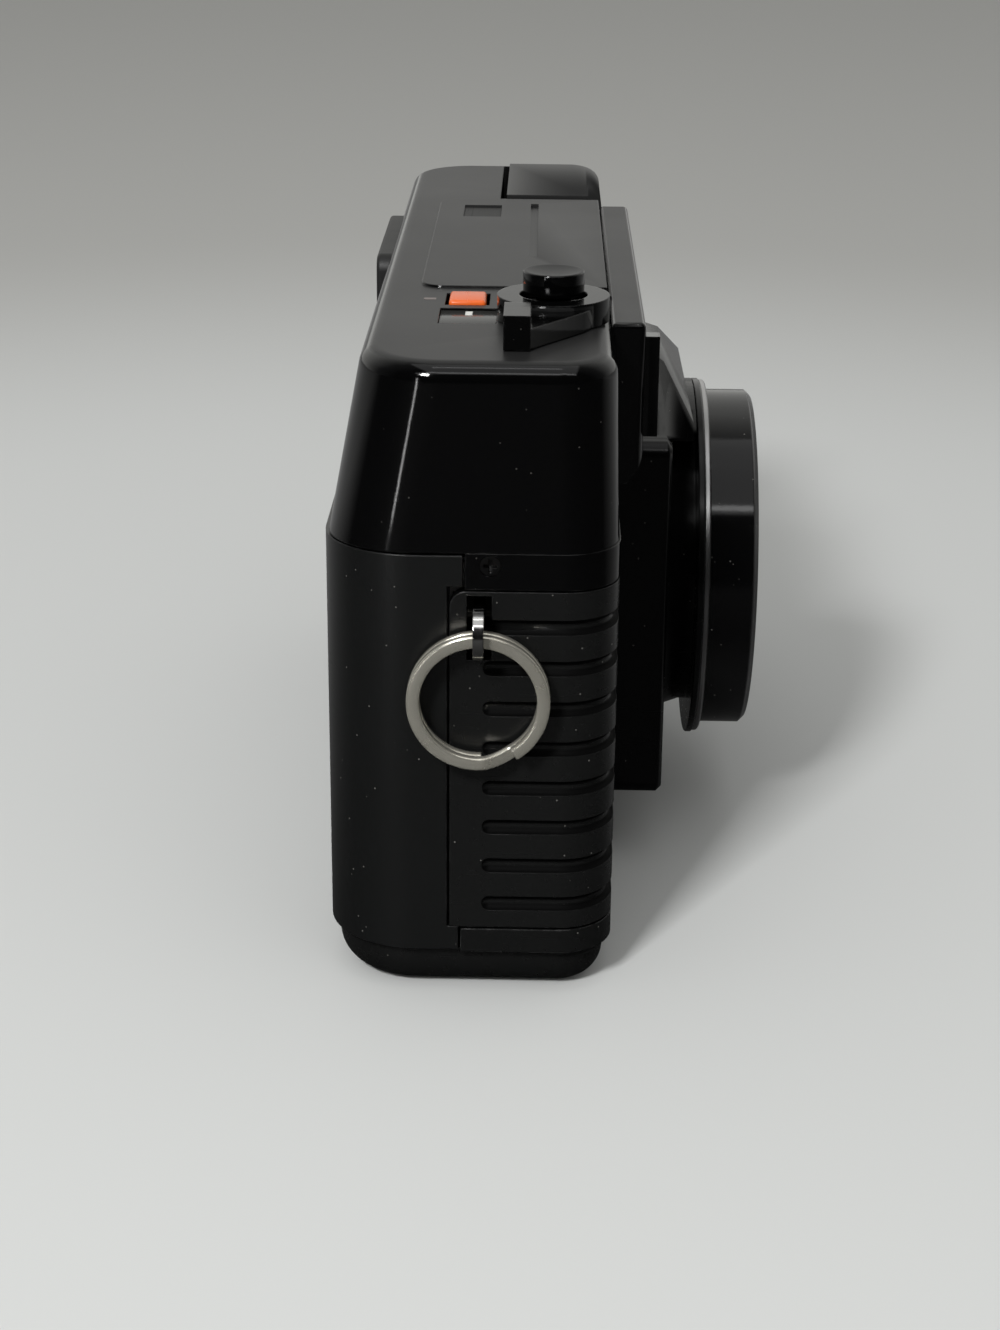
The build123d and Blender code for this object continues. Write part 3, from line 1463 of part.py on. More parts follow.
# The chassis: two decks, the film gate with its light tunnel, the chambers and the battery walls
gate_depths = (film_depth + rail_height, film_depth + rail_height + gate_thickness)
inner_heights = (deck_heights[1], roof_heights[0])
cell_heights = (base_height + moving_gap + 0.4, seam_height - 0.05)
partition_run = cell_run + cell_radius + cell_clearance
contact_top = roof_contact_bottom + contact_thickness
with BuildPart() as main_chassis:
    # The battery compartment, open below and to the front, and roofed over the contacts
    extrude(case_plan(cell_heights[0], chassis_inset), amount=cell_heights[1] - cell_heights[0])
    extrude(
        case_plan(cell_heights[0] - 1, chassis_inset + cell_wall),
        amount=contact_top - cell_heights[0] + 1,
        mode=Mode.SUBTRACT,
    )
    block(
        (front_cell_depth, case_depth),
        (0, partition_run),
        (0, contact_top),
        mode=Mode.SUBTRACT,
    )
    block((0, case_depth), (partition_run, case_length), (0, case_height), mode=Mode.SUBTRACT)
    inside = (chassis_inset, case_depth - chassis_inset)
    block(inside, (partition_run, partition_run + cell_wall), cell_heights)
    # The cassette chamber and the spool chamber, both open to the back
    upright(cassette_depth, cassette_run, inner_heights, cassette_radius + chamber_wall)
    upright(spool_depth, spool_run, inner_heights, spool_chamber_radius + chamber_wall)
    block(
        (0, gate_depths[0]),
        (partition_run + cell_wall, case_length),
        inner_heights,
        mode=Mode.SUBTRACT,
    )
    upright(cassette_depth, cassette_run, inner_heights, cassette_radius, mode=Mode.SUBTRACT)
    upright(spool_depth, spool_run, inner_heights, spool_chamber_radius, mode=Mode.SUBTRACT)
    for at_depth, at_run, radius in (
        (cassette_depth, cassette_run, cassette_radius),
        (spool_depth, spool_run, spool_chamber_radius),
    ):
        block((0, at_depth), (at_run - radius, at_run + radius), inner_heights, mode=Mode.SUBTRACT)
    # The decks
    for heights in (deck_heights, roof_heights):
        with BuildSketch(Plane.XY.offset(heights[0])) as deck:
            add(case_plan(0, chassis_inset))
            with Locations((depth(0), run(0))):
                Rectangle(
                    case_depth,
                    partition_run,
                    align=(Align.MIN, Align.MIN),
                    mode=Mode.SUBTRACT,
                )
        extrude(deck.sketch, amount=heights[1] - heights[0])
    # The gate, its rails, and the tunnel that narrows to the front plate
    gate_runs = (spool_run + spool_chamber_radius, cassette_run - cassette_radius)
    block(gate_depths, gate_runs, inner_heights)
    for side in (-1, 1):
        for offset in (frame_height / 2 + 1.2, film_width / 2 + 0.7):
            place = axis_height + side * offset
            block(
                (film_depth, gate_depths[0]),
                (axis_run - frame_width / 2 - 1.5, axis_run + frame_width / 2 + 1.5),
                (place - 0.6, place + 0.6),
            )
    block(
        (tunnel_front_depth, tunnel_front_depth + front_plate_thickness),
        (axis_run - 20, axis_run + 20),
        inner_heights,
    )
    with BuildSketch(lens_plane.offset(gate_depths[1] - 0.5)) as back_face:
        Rectangle(frame_width + 2 * tunnel_wall, frame_height + 2 * tunnel_wall)
    with BuildSketch(lens_plane.offset(tunnel_front_depth + 0.5)) as front_face:
        Rectangle(tunnel_front_size[0] + 2 * tunnel_wall, tunnel_front_size[1] + 2 * tunnel_wall)
    loft([back_face.sketch, front_face.sketch])
    with BuildSketch(lens_plane.offset(film_depth - 0.5)) as back_face:
        Rectangle(frame_width, frame_height)
    with BuildSketch(lens_plane.offset(tunnel_front_depth + 0.4)) as front_face:
        Rectangle(*tunnel_front_size)
    loft([back_face.sketch, front_face.sketch], mode=Mode.SUBTRACT)
    forward(
        axis_run,
        axis_height,
        (tunnel_front_depth, tunnel_front_depth + 3),
        shutter_opening_radius + 1,
        mode=Mode.SUBTRACT,
    )
    # The sprocket's notch, and the bracket over it
    block(
        (gate_depths[1], sprocket_depth + 2),
        (gate_runs[0], sprocket_run + 2),
        (sprocket_heights[1] + 0.4, sprocket_heights[1] + 1.8),
    )
    upright(
        sprocket_depth,
        sprocket_run,
        (sprocket_heights[0] - 0.4, sprocket_heights[1] + 0.4),
        sprocket_radius + sprocket_tooth + 0.4,
        mode=Mode.SUBTRACT,
    )
    # Pins under the lower deck for the gears, bosses for the screws, and a seat for the tripod socket
    for place in gear_pins:
        upright(*place, (gear_low_heights[0] - 0.2, deck_heights[0]), gear_pin_radius)
    for place in screw_places:
        upright(*place, (screw_seat + screw_floor + 0.05, deck_heights[0]), screw_boss_radius)
        upright(*place, (0, deck_heights[1] - 0.2), screw_shank_radius, mode=Mode.SUBTRACT)
    upright(socket_depth, axis_run, (socket_length + 0.05, deck_heights[0]), socket_radius)
    # Bearings: spool hub, fork, sprocket, and room for the hinge and the inner wall at the near end
    upright(spool_depth, spool_run, (0, 10), spool_hub_radius + shaft_gap, mode=Mode.SUBTRACT)
    upright(cassette_depth, cassette_run, (0, 10), fork_shaft_radius + shaft_gap, mode=Mode.SUBTRACT)
    upright(
        sprocket_depth,
        sprocket_run,
        (0, sprocket_heights[1] + 1.4),
        sprocket_shaft_radius + shaft_gap,
        mode=Mode.SUBTRACT,
    )
    block(
        (hinge_depth - hinge_radius - 1, hinge_edge_depth + 0.8),
        (hinge_run - hinge_radius - 0.4, case_length),
        (0, case_height),
        mode=Mode.SUBTRACT,
    )
    block(
        (door_edge_depth + 0.2, case_depth),
        (0, inner_wall_runs[1] + seat_gap),
        (0, case_height),
        mode=Mode.SUBTRACT,
    )
main_chassis.part.label = "main_chassis"
export_step(main_chassis.part, "parts/main_chassis.step")

# The tripod socket: a flanged metal bush in the base
with BuildPart() as tripod_socket:
    upright(socket_depth, axis_run, (0, socket_length), socket_radius)
    upright(socket_depth, axis_run, (wall, wall + 1), socket_flange_radius)
    upright(socket_depth, axis_run, (-1, socket_length - 0.8), socket_bore_radius, mode=Mode.SUBTRACT)
tripod_socket.part.label = "tripod_socket"
export_step(tripod_socket.part, "parts/tripod_socket.step")

# The take-up spool: a slotted drum with its gear under the lower deck
spool_heights = (deck_heights[1] + 0.6, roof_heights[0] - 0.6)
spool_web = 2.0
with BuildPart() as take_up_spool:
    upright(spool_depth, spool_run, spool_heights, spool_radius)
    upright(
        spool_depth,
        spool_run,
        (spool_heights[0] + spool_web, spool_heights[1] + 1),
        spool_radius - spool_wall,
        mode=Mode.SUBTRACT,
    )
    with BuildSketch(Plane((depth(spool_depth), run(spool_run), axis_height - 8))) as slots:
        with PolarLocations(spool_radius, 3):
            Rectangle(3, 2.2)
    extrude(slots.sketch, amount=16, mode=Mode.SUBTRACT)
    upright(spool_depth, spool_run, (gear_high_heights[0], spool_heights[0]), spool_hub_radius)
    gear(spool_depth, spool_run, gear_high_heights, spool_gear_radius)
    upright(
        spool_depth,
        spool_run,
        (0, spool_heights[0] + spool_web + 1),
        motor_shaft_radius + 0.4,
        mode=Mode.SUBTRACT,
    )
take_up_spool.part.label = "take_up_spool"
export_step(take_up_spool.part, "parts/take_up_spool.step")

# The motor stands inside the spool, hung from the roof deck.
with BuildPart() as drive_motor:
    upright(spool_depth, spool_run, (motor_bottom, roof_heights[0]), motor_radius)
    fillet(drive_motor.edges().group_by(Axis.Z)[0], 0.8)
    upright(
        spool_depth,
        spool_run,
        (0, motor_bottom + 4),
        motor_shaft_radius + shaft_gap,
        mode=Mode.SUBTRACT,
    )
drive_motor.part.label = "drive_motor"
export_step(drive_motor.part, "parts/drive_motor.step")

with BuildPart() as motor_pinion:
    upright(spool_depth, spool_run, (gear_low_heights[0], motor_bottom + 3.9), motor_shaft_radius)
    gear(spool_depth, spool_run, gear_low_heights, motor_pinion_radius)
motor_pinion.part.label = "motor_pinion"
export_step(motor_pinion.part, "parts/motor_pinion.step")

# The transfer gear: a large wheel driven by the pinion, and a small one that drives the spool
centre_distance = hypot(transfer_depth - spool_depth, transfer_run - spool_run)
transfer_large = centre_distance - motor_pinion_radius - gear_tip_gap
transfer_small = centre_distance - spool_gear_radius - gear_tip_gap
with BuildPart() as transfer_gear:
    gear(transfer_depth, transfer_run, gear_low_heights, transfer_large)
    gear(transfer_depth, transfer_run, gear_high_heights, transfer_small)
    upright(
        transfer_depth,
        transfer_run,
        (gear_low_heights[1], gear_high_heights[0]),
        transfer_small - gear_tooth_depth,
    )
    upright(
        transfer_depth,
        transfer_run,
        (0, deck_heights[0]),
        gear_pin_radius + shaft_gap,
        mode=Mode.SUBTRACT,
    )
transfer_gear.part.label = "transfer_gear"
export_step(transfer_gear.part, "parts/transfer_gear.step")

for count, place in enumerate(rewind_gear_runs, 1):
    with BuildPart() as rewind_gear:
        gear(rewind_gear_depth, place, gear_high_heights, rewind_gear_radius)
        upright(
            rewind_gear_depth,
            place,
            (0, deck_heights[0]),
            gear_pin_radius + shaft_gap,
            mode=Mode.SUBTRACT,
        )
    rewind_gear.part.label = f"rewind_gear_{count}"
    export_step(rewind_gear.part, f"parts/rewind_gear_{count}.step")

# The rewind fork stands in the cassette chamber and turns the cassette's hub.
with BuildPart() as rewind_fork:
    gear(cassette_depth, cassette_run, gear_high_heights, fork_gear_radius)
    upright(cassette_depth, cassette_run, (gear_low_heights[0], 10), fork_shaft_radius)
    upright(
        cassette_depth,
        cassette_run,
        (deck_heights[1] + seat_gap, deck_heights[1] + 1.3),
        4.6,
    )
    for side in (-1, 1):
        block(
            (cassette_depth - 0.9, cassette_depth + 0.9),
            (cassette_run + side * 2.2 - 0.6, cassette_run + side * 2.2 + 0.6),
            (deck_heights[1] + 1, deck_heights[1] + fork_length),
        )
rewind_fork.part.label = "rewind_fork"
export_step(rewind_fork.part, "parts/rewind_fork.step")

# The film sprocket: four teeth at the lower row of perforations
with BuildPart() as film_sprocket:
    upright(sprocket_depth, sprocket_run, sprocket_heights, sprocket_radius)
    tooth_height = sprocket_heights[0] + 1.0
    with BuildSketch(Plane((depth(sprocket_depth), run(sprocket_run), tooth_height))) as teeth:
        with PolarLocations(0, sprocket_tooth_count, start_angle=45):
            Polygon(
                (sprocket_radius - 0.3, -0.7),
                (sprocket_radius + sprocket_tooth, -0.35),
                (sprocket_radius + sprocket_tooth, 0.35),
                (sprocket_radius - 0.3, 0.7),
                align=None,
            )
    extrude(teeth.sketch, amount=1.3)
    upright(
        sprocket_depth,
        sprocket_run,
        (deck_heights[0] - 1, sprocket_heights[1] + 1.3),
        sprocket_shaft_radius,
    )
film_sprocket.part.label = "film_sprocket"
export_step(film_sprocket.part, "parts/film_sprocket.step")

# Screws: four up through the base, and one in the end strip
with BuildPart() as case_screws:
    for place in screw_places:
        upright(*place, (screw_sink, screw_seat), screw_head_radius)
        upright(*place, (screw_seat, deck_heights[1] - 0.4), screw_shank_radius)
        for size in ((1.8, 0.5), (0.5, 1.8)):
            with Locations((depth(place[0]), run(place[1]), screw_sink)):
                Box(*size, 0.8, mode=Mode.SUBTRACT)
    lengthwise(end_screw_depth, end_screw_height, (0.1, screw_head_thickness), end_screw_radius)
    lengthwise(end_screw_depth, end_screw_height, (screw_head_thickness, 2.7), screw_shank_radius)
    for size in ((1.5, 0.35), (0.35, 1.5)):
        with Locations((depth(end_screw_depth), run(0.1), end_screw_height)):
            Box(size[0], 0.9, size[1], mode=Mode.SUBTRACT)
case_screws.part.label = "case_screws"
export_step(case_screws.part, "parts/case_screws.step")
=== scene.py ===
"""The looks of the compact film camera: finishes, detailed pieces, studio and camera."""

import json
import logging
from dataclasses import dataclass
from enum import Enum
from math import cos, pi, radians, sin
from typing import Any, ClassVar, Iterable, Optional, Sequence

import bmesh
import bpy
from mathutils import Matrix, Vector

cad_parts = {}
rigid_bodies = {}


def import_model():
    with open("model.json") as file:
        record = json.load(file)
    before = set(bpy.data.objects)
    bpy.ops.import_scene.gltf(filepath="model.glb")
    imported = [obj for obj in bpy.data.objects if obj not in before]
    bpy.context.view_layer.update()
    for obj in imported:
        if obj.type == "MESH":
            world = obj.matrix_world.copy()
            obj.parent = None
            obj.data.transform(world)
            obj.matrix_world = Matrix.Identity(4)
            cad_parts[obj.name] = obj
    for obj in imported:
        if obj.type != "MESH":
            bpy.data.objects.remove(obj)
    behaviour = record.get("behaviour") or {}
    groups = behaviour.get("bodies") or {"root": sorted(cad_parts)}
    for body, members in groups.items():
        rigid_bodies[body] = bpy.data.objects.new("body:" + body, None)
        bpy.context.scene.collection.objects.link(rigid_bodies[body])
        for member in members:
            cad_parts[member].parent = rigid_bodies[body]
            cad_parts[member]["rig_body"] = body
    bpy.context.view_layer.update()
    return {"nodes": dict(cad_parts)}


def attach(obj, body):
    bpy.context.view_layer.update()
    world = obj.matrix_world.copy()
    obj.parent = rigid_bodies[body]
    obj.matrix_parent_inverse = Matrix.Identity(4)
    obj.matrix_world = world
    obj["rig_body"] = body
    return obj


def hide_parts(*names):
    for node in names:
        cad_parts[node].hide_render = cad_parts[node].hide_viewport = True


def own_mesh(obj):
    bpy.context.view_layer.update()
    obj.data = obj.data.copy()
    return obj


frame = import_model()

log = logging.getLogger("film_camera")

SOCKET_DEPTH = 12.0
AXIS_RUN = 62.0
MM = 0.001
LOOK = "look_"
LATHE_STEPS = 96

Point = tuple[float, float, float]
Pair = tuple[float, float]
Colour = tuple[float, float, float, float]

UP = Vector((0.0, 0.0, 1.0))
ALONG_CASE = Vector((0.0, 1.0, 0.0))
DUST: Colour = (0.35, 0.34, 0.31, 1.0)


def at(depth: float, run: float, height: float) -> Vector:
    """Turns a place on the case into the frame's metres.

    Args:
        depth: millimetres forward from the back of the door.
        run: millimetres from the end with the shutter button.
        height: millimetres above the base.

    Returns:
        The point in the frame of the model.
    """
    return Vector((depth - SOCKET_DEPTH, run - AXIS_RUN, height)) * MM


def grey(level: float, tint: Point = (1.0, 1.0, 1.0)) -> Colour:
    """A grey of that level, lightly tinted."""
    return (level * tint[0], level * tint[1], level * tint[2], 1.0)


def linked(name: str, data: bpy.types.ID) -> bpy.types.Object:
    """Makes an object of some data and adds it to the scene."""
    made = bpy.data.objects.new(name, data)
    bpy.context.scene.collection.objects.link(made)
    return made


def stands_for(made: bpy.types.Object, node: str) -> None:
    """Makes a piece stand for a node by hiding the node."""
    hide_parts(node)


class Term:
    """A shader socket that takes part in Python arithmetic."""

    def __init__(self, graph: "Graph", socket: bpy.types.NodeSocket) -> None:
        """Keeps the graph and the socket."""
        self.graph = graph
        self.socket = socket

    def _math(self, kind: str, *others: Any, clamp: bool = False) -> "Term":
        """Adds one Math node and returns its result."""
        settings = {"operation": kind, "use_clamp": clamp}
        inputs = dict(enumerate((self, *others)))
        return self.graph.node("Math", settings, inputs)

    def __add__(self, other: Any) -> "Term":
        """Adds."""
        return self._math("ADD", other)

    __radd__ = __add__

    def __mul__(self, other: Any) -> "Term":
        """Multiplies."""
        return self._math("MULTIPLY", other)

    __rmul__ = __mul__

    def __sub__(self, other: Any) -> "Term":
        """Takes the other away."""
        return self._math("SUBTRACT", other)

    def __rsub__(self, other: Any) -> "Term":
        """Is taken away from the other."""
        return (self * -1.0) + other

    def clamped(self) -> "Term":
        """Keeps the value between 0 and 1."""
        return self._math("ADD", 0.0, clamp=True)

    def above(self, edge: float, width: float) -> "Term":
        """Rises from 0 to 1 as the value passes an edge.

        Args:
            edge: the value at which the rise starts.
            width: how far the rise takes.

        Returns:
            The mask.
        """
        return ((self - edge) * (1.0 / width)).clamped()

    def abs(self) -> "Term":
        """The size of the value without its sign."""
        return self._math("ABSOLUTE")


class Graph:
    """The node tree of a material or of the world."""

    def __init__(self, owner: bpy.types.ID) -> None:
        """Empties the owner's node tree."""
        owner.use_nodes = True
        self.owner = owner
        self.tree = owner.node_tree
        self.tree.nodes.clear()
        self._places: Optional[Term] = None

    @classmethod
    def of_material(cls, name: str) -> "Graph":
        """The graph of a new material."""
        return cls(bpy.data.materials.new(LOOK + name))

    def node(
        self,
        kind: str,
        settings: Optional[dict[str, Any]] = None,
        inputs: Optional[dict[Any, Any]] = None,
        out: Any = 0,
    ) -> Term:
        """Adds a node.

        Args:
            kind: Blender's name for the node's type, without ShaderNode.
            settings: the node's own settings, set first; stops are a colour ramp's stops.
            inputs: socket name or number to a value or a Term.
            out: the output wanted.

        Returns:
            The output as a Term.
        """
        made = self.tree.nodes.new("ShaderNode" + kind)
        for key, value in (settings or {}).items():
            if key == "stops":
                self.set_stops(made.color_ramp, value)
            else:
                setattr(made, key, value)
        for key, value in (inputs or {}).items():
            self.feed(made.inputs[key], value)
        return Term(self, made.outputs[out])

    @staticmethod
    def set_stops(ramp: bpy.types.ColorRamp, stops: Sequence[tuple[float, Colour]]) -> None:
        """Gives a colour ramp its stops, which run from low to high."""
        first, last = ramp.elements
        first.position, first.color = stops[0]
        last.position, last.color = stops[-1]
        for position, colour in stops[1:-1]:
            ramp.elements.new(position).color = colour

    def feed(self, socket: bpy.types.NodeSocket, value: Any) -> None:
        """Links a Term to a socket, or sets a plain value on it."""
        if isinstance(value, Term):
            self.tree.links.new(value.socket, socket)
        else:
            socket.default_value = value

    def places(self) -> Term:
        """Object coordinates, in millimetres."""
        if self._places is None:
            raw = self.node("TexCoord", out="Object")
            inputs = {0: raw, "Scale": 1.0 / MM}
            self._places = self.node("VectorMath", {"operation": "SCALE"}, inputs)
        return self._places

    def part_of(self, vector: Term, axis: str) -> Term:
        """The X, Y or Z part of a vector."""
        return self.node("SeparateXYZ", inputs={0: vector}, out=axis)

    def noise(self, scale: float, detail: float = 3.0, stretch: Point = (1.0, 1.0, 1.0)) -> Term:
        """Smooth noise over the surface.

        Args:
            scale: features per millimetre.
            detail: how many finer layers are added.
            stretch: the pattern's scale along each axis.

        Returns:
            The noise, about 0.5 on average.
        """
        spread = self.node("Mapping", inputs={"Vector": self.places(), "Scale": stretch})
        return self.node("TexNoise", inputs={"Vector": spread, "Scale": scale, "Detail": detail})

    def rounded(self, radius: float) -> Term:
        """The surface's normal, with its edges rounded by a radius in metres."""
        return self.node("Bevel", {"samples": 4}, {"Radius": radius})

    def bump(self, height: Term, strength: float = 1.0, normal: Optional[Term] = None) -> Term:
        """The normal of a surface raised by a height in millimetres.

        Args:
            height: how far each point is raised.
            strength: the share of the height that counts.
            normal: the normal of the surface below, if it isn't the mesh's own.

        Returns:
            The new normal.
        """
        inputs = {"Strength": strength, "Distance": MM, "Height": height}
        if normal is not None:
            inputs["Normal"] = normal
        return self.node("Bump", inputs=inputs)

    def mix(self, share: Any, low: Any, high: Any) -> Term:
        """Mixes two colours."""
        return self.node("Mix", {"data_type": "RGBA"}, {0: share, 6: low, 7: high}, out=2)

    def principled(self, **inputs: Any) -> Term:
        """Adds a Principled shader, whose sockets are named with underscores for spaces."""
        named = {key.replace("_", " "): value for key, value in inputs.items()}
        return self.node("BsdfPrincipled", inputs=named)

    def blend(self, share: Term, low: Term, high: Term) -> Term:
        """Mixes two shaders."""
        return self.node("MixShader", inputs={0: share, 1: low, 2: high})

    def end(self, shader: Term, kind: str = "OutputMaterial") -> Any:
        """Joins the shader to the output, and returns the material or world."""
        output = self.tree.nodes.new("ShaderNode" + kind)
        self.tree.links.new(shader.socket, output.inputs["Surface"])
        return self.owner


@dataclass(frozen=True)
class Wear:
    """The marks that every plastic piece has: hairlines, specks of dust and rubbed edges."""

    across: Point = (0.06, 1.0, 2.2)
    across_scale: float = 0.9
    across_start: float = 0.66
    along: Point = (2.0, 0.05, 1.3)
    along_scale: float = 0.8
    along_start: float = 0.67
    hairline: float = 0.02
    speck_scale: float = 0.55
    speck_size: float = 0.035
    speck_blur: float = 0.03
    edge_turn: float = 0.82
    edge_blur: float = 0.16
    patch_scale: float = 0.6
    patch_start: float = 0.45
    patch_blur: float = 0.2

    def hairlines(self, graph: Graph) -> Term:
        """A mask of fine scratches in two directions."""
        across = graph.noise(self.across_scale, 2.0, self.across)
        along = graph.noise(self.along_scale, 2.0, self.along)
        return across.above(self.across_start, self.hairline) + along.above(self.along_start, self.hairline)

    def specks(self, graph: Graph) -> Term:
        """A mask of scattered specks of dust."""
        inputs = {"Vector": graph.places(), "Scale": self.speck_scale}
        cells = graph.node("TexVoronoi", {"feature": "F1"}, inputs)
        return 1.0 - cells.above(self.speck_size, self.speck_blur)

    def rubbed(self, graph: Graph, rounded: Term, facing: Term) -> Term:
        """A mask of the edges that hands have rubbed, in patches.

        Args:
            graph: the material's graph.
            rounded: the normal with rounded edges.
            facing: the mesh's own normal, which differs from it at an edge.

        Returns:
            The mask.
        """
        inputs = {0: rounded, 1: facing}
        agree = graph.node("VectorMath", {"operation": "DOT_PRODUCT"}, inputs, out=1)
        turned = 1.0 - agree.above(self.edge_turn, self.edge_blur)
        return turned * graph.noise(self.patch_scale).above(self.patch_start, self.patch_blur)


@dataclass(frozen=True)
class Moulded:
    """Moulded plastic: its colour, gloss, orange peel, fine scratches, dust and rubbed edges.

    With a satin level, the faces that look up at the top are satin and lighter, as painted light from above.
    With a groove_shade level, the faces that slope are dull and dark, as painted shade in the grooves of a
    grip.
    """

    name: str
    colour: Point
    roughness: float = 0.12
    unevenness: float = 0.06
    uneven_scale: float = 0.05
    peel: float = 0.004
    peel_scale: float = 0.9
    grain: float = 0.0
    grain_scale: float = 5.0
    scratches: float = 0.2
    scratch_depth: float = 0.004
    scratch_roughness: float = 0.25
    dust: float = 0.35
    dust_roughness: float = 0.5
    edge: float = 0.25
    edge_colour: Point = (0.09, 0.09, 0.09)
    edge_roughness: float = 0.3
    edge_radius: float = 0.00025
    specular: float = 0.5
    # satin: the grey of the top's upward faces, a satin finish with a lighter grey that is painted light from
    # above.
    satin: float = 0.0
    satin_and_light_height: float = 75.85
    satin_and_light_fade: float = 0.1
    satin_and_light_facing: Pair = (0.8, 0.15)
    satin_roughness: float = 0.34
    satin_spread: float = 0.08
    satin_specular: float = 0.22
    # groove_shade: the near-black grey painted as shade on the sloping faces of grooves.
    groove_shade: float = 0.0
    groove_slope: Pair = (0.12, 0.3)
    groove_roughness: float = 0.6
    groove_specular: float = 0.05
    wear: Wear = Wear()

    def build(self) -> bpy.types.Material:
        """Makes the material."""
        graph = Graph.of_material(self.name)
        uneven = graph.noise(self.uneven_scale, 4.0)
        lines = self.wear.hairlines(graph)
        fleck = self.wear.specks(graph) * self.dust
        rounded = graph.rounded(self.edge_radius)
        facing = graph.node("NewGeometry", out="Normal")
        rubbed = self.wear.rubbed(graph, rounded, facing) * self.edge
        base = graph.mix(rubbed.clamped(), (*self.colour, 1.0), (*self.edge_colour, 1.0))
        height = graph.noise(self.peel_scale, 2.0) * self.peel
        height = height + lines * (self.scratch_depth * self.scratches)
        if self.grain:
            height = height + graph.noise(self.grain_scale) * self.grain
        rough = uneven * (2.0 * self.unevenness) + (self.roughness - self.unevenness)
        rough = rough + lines * (self.scratch_roughness * self.scratches)
        rough = rough + fleck * self.dust_roughness + rubbed * self.edge_roughness
        shader = graph.principled(
            Base_Color=graph.mix(fleck.clamped(), base, DUST),
            Roughness=rough.clamped(),
            Normal=graph.bump(height, normal=rounded),
            Specular_IOR_Level=self.specular,
        )
        # Painted shade: sloping faces, the walls of grooves, turn dull near-black.
        if self.groove_shade:
            slope = graph.part_of(facing, "Z").abs().above(*self.groove_slope)
            shader = graph.blend(slope, shader, self.painted_groove_shade(graph))
        # Painted light: the top's upward faces get a lighter satin grey. Faces below the top, such as groove
        # floors, keep the gloss black, which stands as painted shade there.
        if self.satin:
            on_top = graph.part_of(graph.places(), "Z").above(self.satin_and_light_height, self.satin_and_light_fade)
            upward = graph.part_of(facing, "Z").above(*self.satin_and_light_facing)
            shader = graph.blend(on_top * upward, shader, self.satin_and_top_light_shader(graph, fleck, uneven, rounded))
        return graph.end(shader)

    def painted_groove_shade(self, graph: Graph) -> Term:
        """The painted shade in the grooves: a dull black."""
        return graph.principled(
            Base_Color=grey(self.groove_shade),
            Roughness=self.groove_roughness,
            Specular_IOR_Level=self.groove_specular,
        )

    def satin_and_top_light_shader(self, graph: Graph, fleck: Term, uneven: Term, rounded: Term) -> Term:
        """The satin of the top, whose lighter grey is painted light from above.

        Args:
            graph: the material's graph.
            fleck: the mask of dust.
            uneven: the noise that varies the gloss.
            rounded: the normal with rounded edges.

        Returns:
            The shader.
        """
        return graph.principled(
            Base_Color=graph.mix(fleck.clamped(), grey(self.satin), DUST),
            Roughness=(uneven * self.satin_spread + self.satin_roughness).clamped(),
            Normal=rounded,
            Specular_IOR_Level=self.satin_specular,
        )


@dataclass(frozen=True)
class Metal:
    """Bare or plated metal with tarnish and fine polishing lines.

    With shade_from set, the metal turns near-black beyond that place along Y: painted shade where the piece
    sits in a recess.
    """

    name: str
    colour: Point
    roughness: float = 0.16
    tarnish: float = 0.3
    tarnish_colour: Point = (0.3, 0.26, 0.19)
    tarnish_roughness: float = 0.5
    patch_scale: float = 0.35
    patch_edge: Pair = (0.5, 0.35)
    lines: float = 0.002
    line_scale: float = 3.0
    line_roughness: float = 0.08
    edge_radius: float = 0.0002
    metallic: float = 1.0
    # shade_from, paint and shade_fade: painted shade, a near-black grey laid over the metal beyond that place
    # along Y.
    shade_from: Optional[float] = None
    paint: float = 0.008
    shade_fade: float = 0.15

    def build(self) -> bpy.types.Material:
        """Makes the material."""
        graph = Graph.of_material(self.name)
        patches = graph.noise(self.patch_scale, 5.0).above(*self.patch_edge) * self.tarnish
        fine = graph.noise(self.line_scale)
        colour = graph.mix(patches, (*self.colour, 1.0), (*self.tarnish_colour, 1.0))
        # Painted shade: near-black beyond shade_from, where the lug's plates sit in the case's recess.
        if self.shade_from is not None:
            painted = graph.part_of(graph.places(), "Y").above(self.shade_from, self.shade_fade)
            colour = graph.mix(painted, colour, grey(self.paint))
        rough = patches * self.tarnish_roughness + fine * self.line_roughness
        rough = rough + (self.roughness - self.line_roughness / 2)
        shader = graph.principled(
            Base_Color=colour,
            Metallic=self.metallic,
            Roughness=rough.clamped(),
            Normal=graph.bump(fine * self.lines, normal=graph.rounded(self.edge_radius)),
        )
        return graph.end(shader)


@dataclass(frozen=True)
class Optical:
    """Clear glass or plastic, with a faint coating tint and smears."""

    name: str
    colour: Point = (0.9, 0.95, 0.97)
    roughness: float = 0.02
    clearness: float = 0.9
    coating: Point = (0.25, 0.1, 0.5)
    smear_scale: float = 0.18
    smear_stretch: Point = (1.0, 0.5, 1.6)
    smear_edge: Pair = (0.45, 0.5)
    smear_roughness: float = 0.08
    smear_haze: float = 0.1
    edge_blend: float = 0.35

    def build(self) -> bpy.types.Material:
        """Makes the material."""
        graph = Graph.of_material(self.name)
        smear = graph.noise(self.smear_scale, 4.0, self.smear_stretch)
        edge_view = graph.node("LayerWeight", inputs={"Blend": self.edge_blend}, out="Facing")
        gloss = graph.principled(
            Base_Color=graph.mix(edge_view, (*self.coating, 1.0), (*self.colour, 1.0)),
            Roughness=smear.above(*self.smear_edge) * self.smear_roughness + self.roughness,
            Coat_Weight=1.0,
            Coat_Roughness=0.02,
        )
        clear = graph.node("BsdfTransparent", inputs={"Color": (*self.colour, 1.0)})
        share = (1.0 - smear * self.smear_haze) * self.clearness
        return graph.end(graph.blend(share.clamped(), gloss, clear))


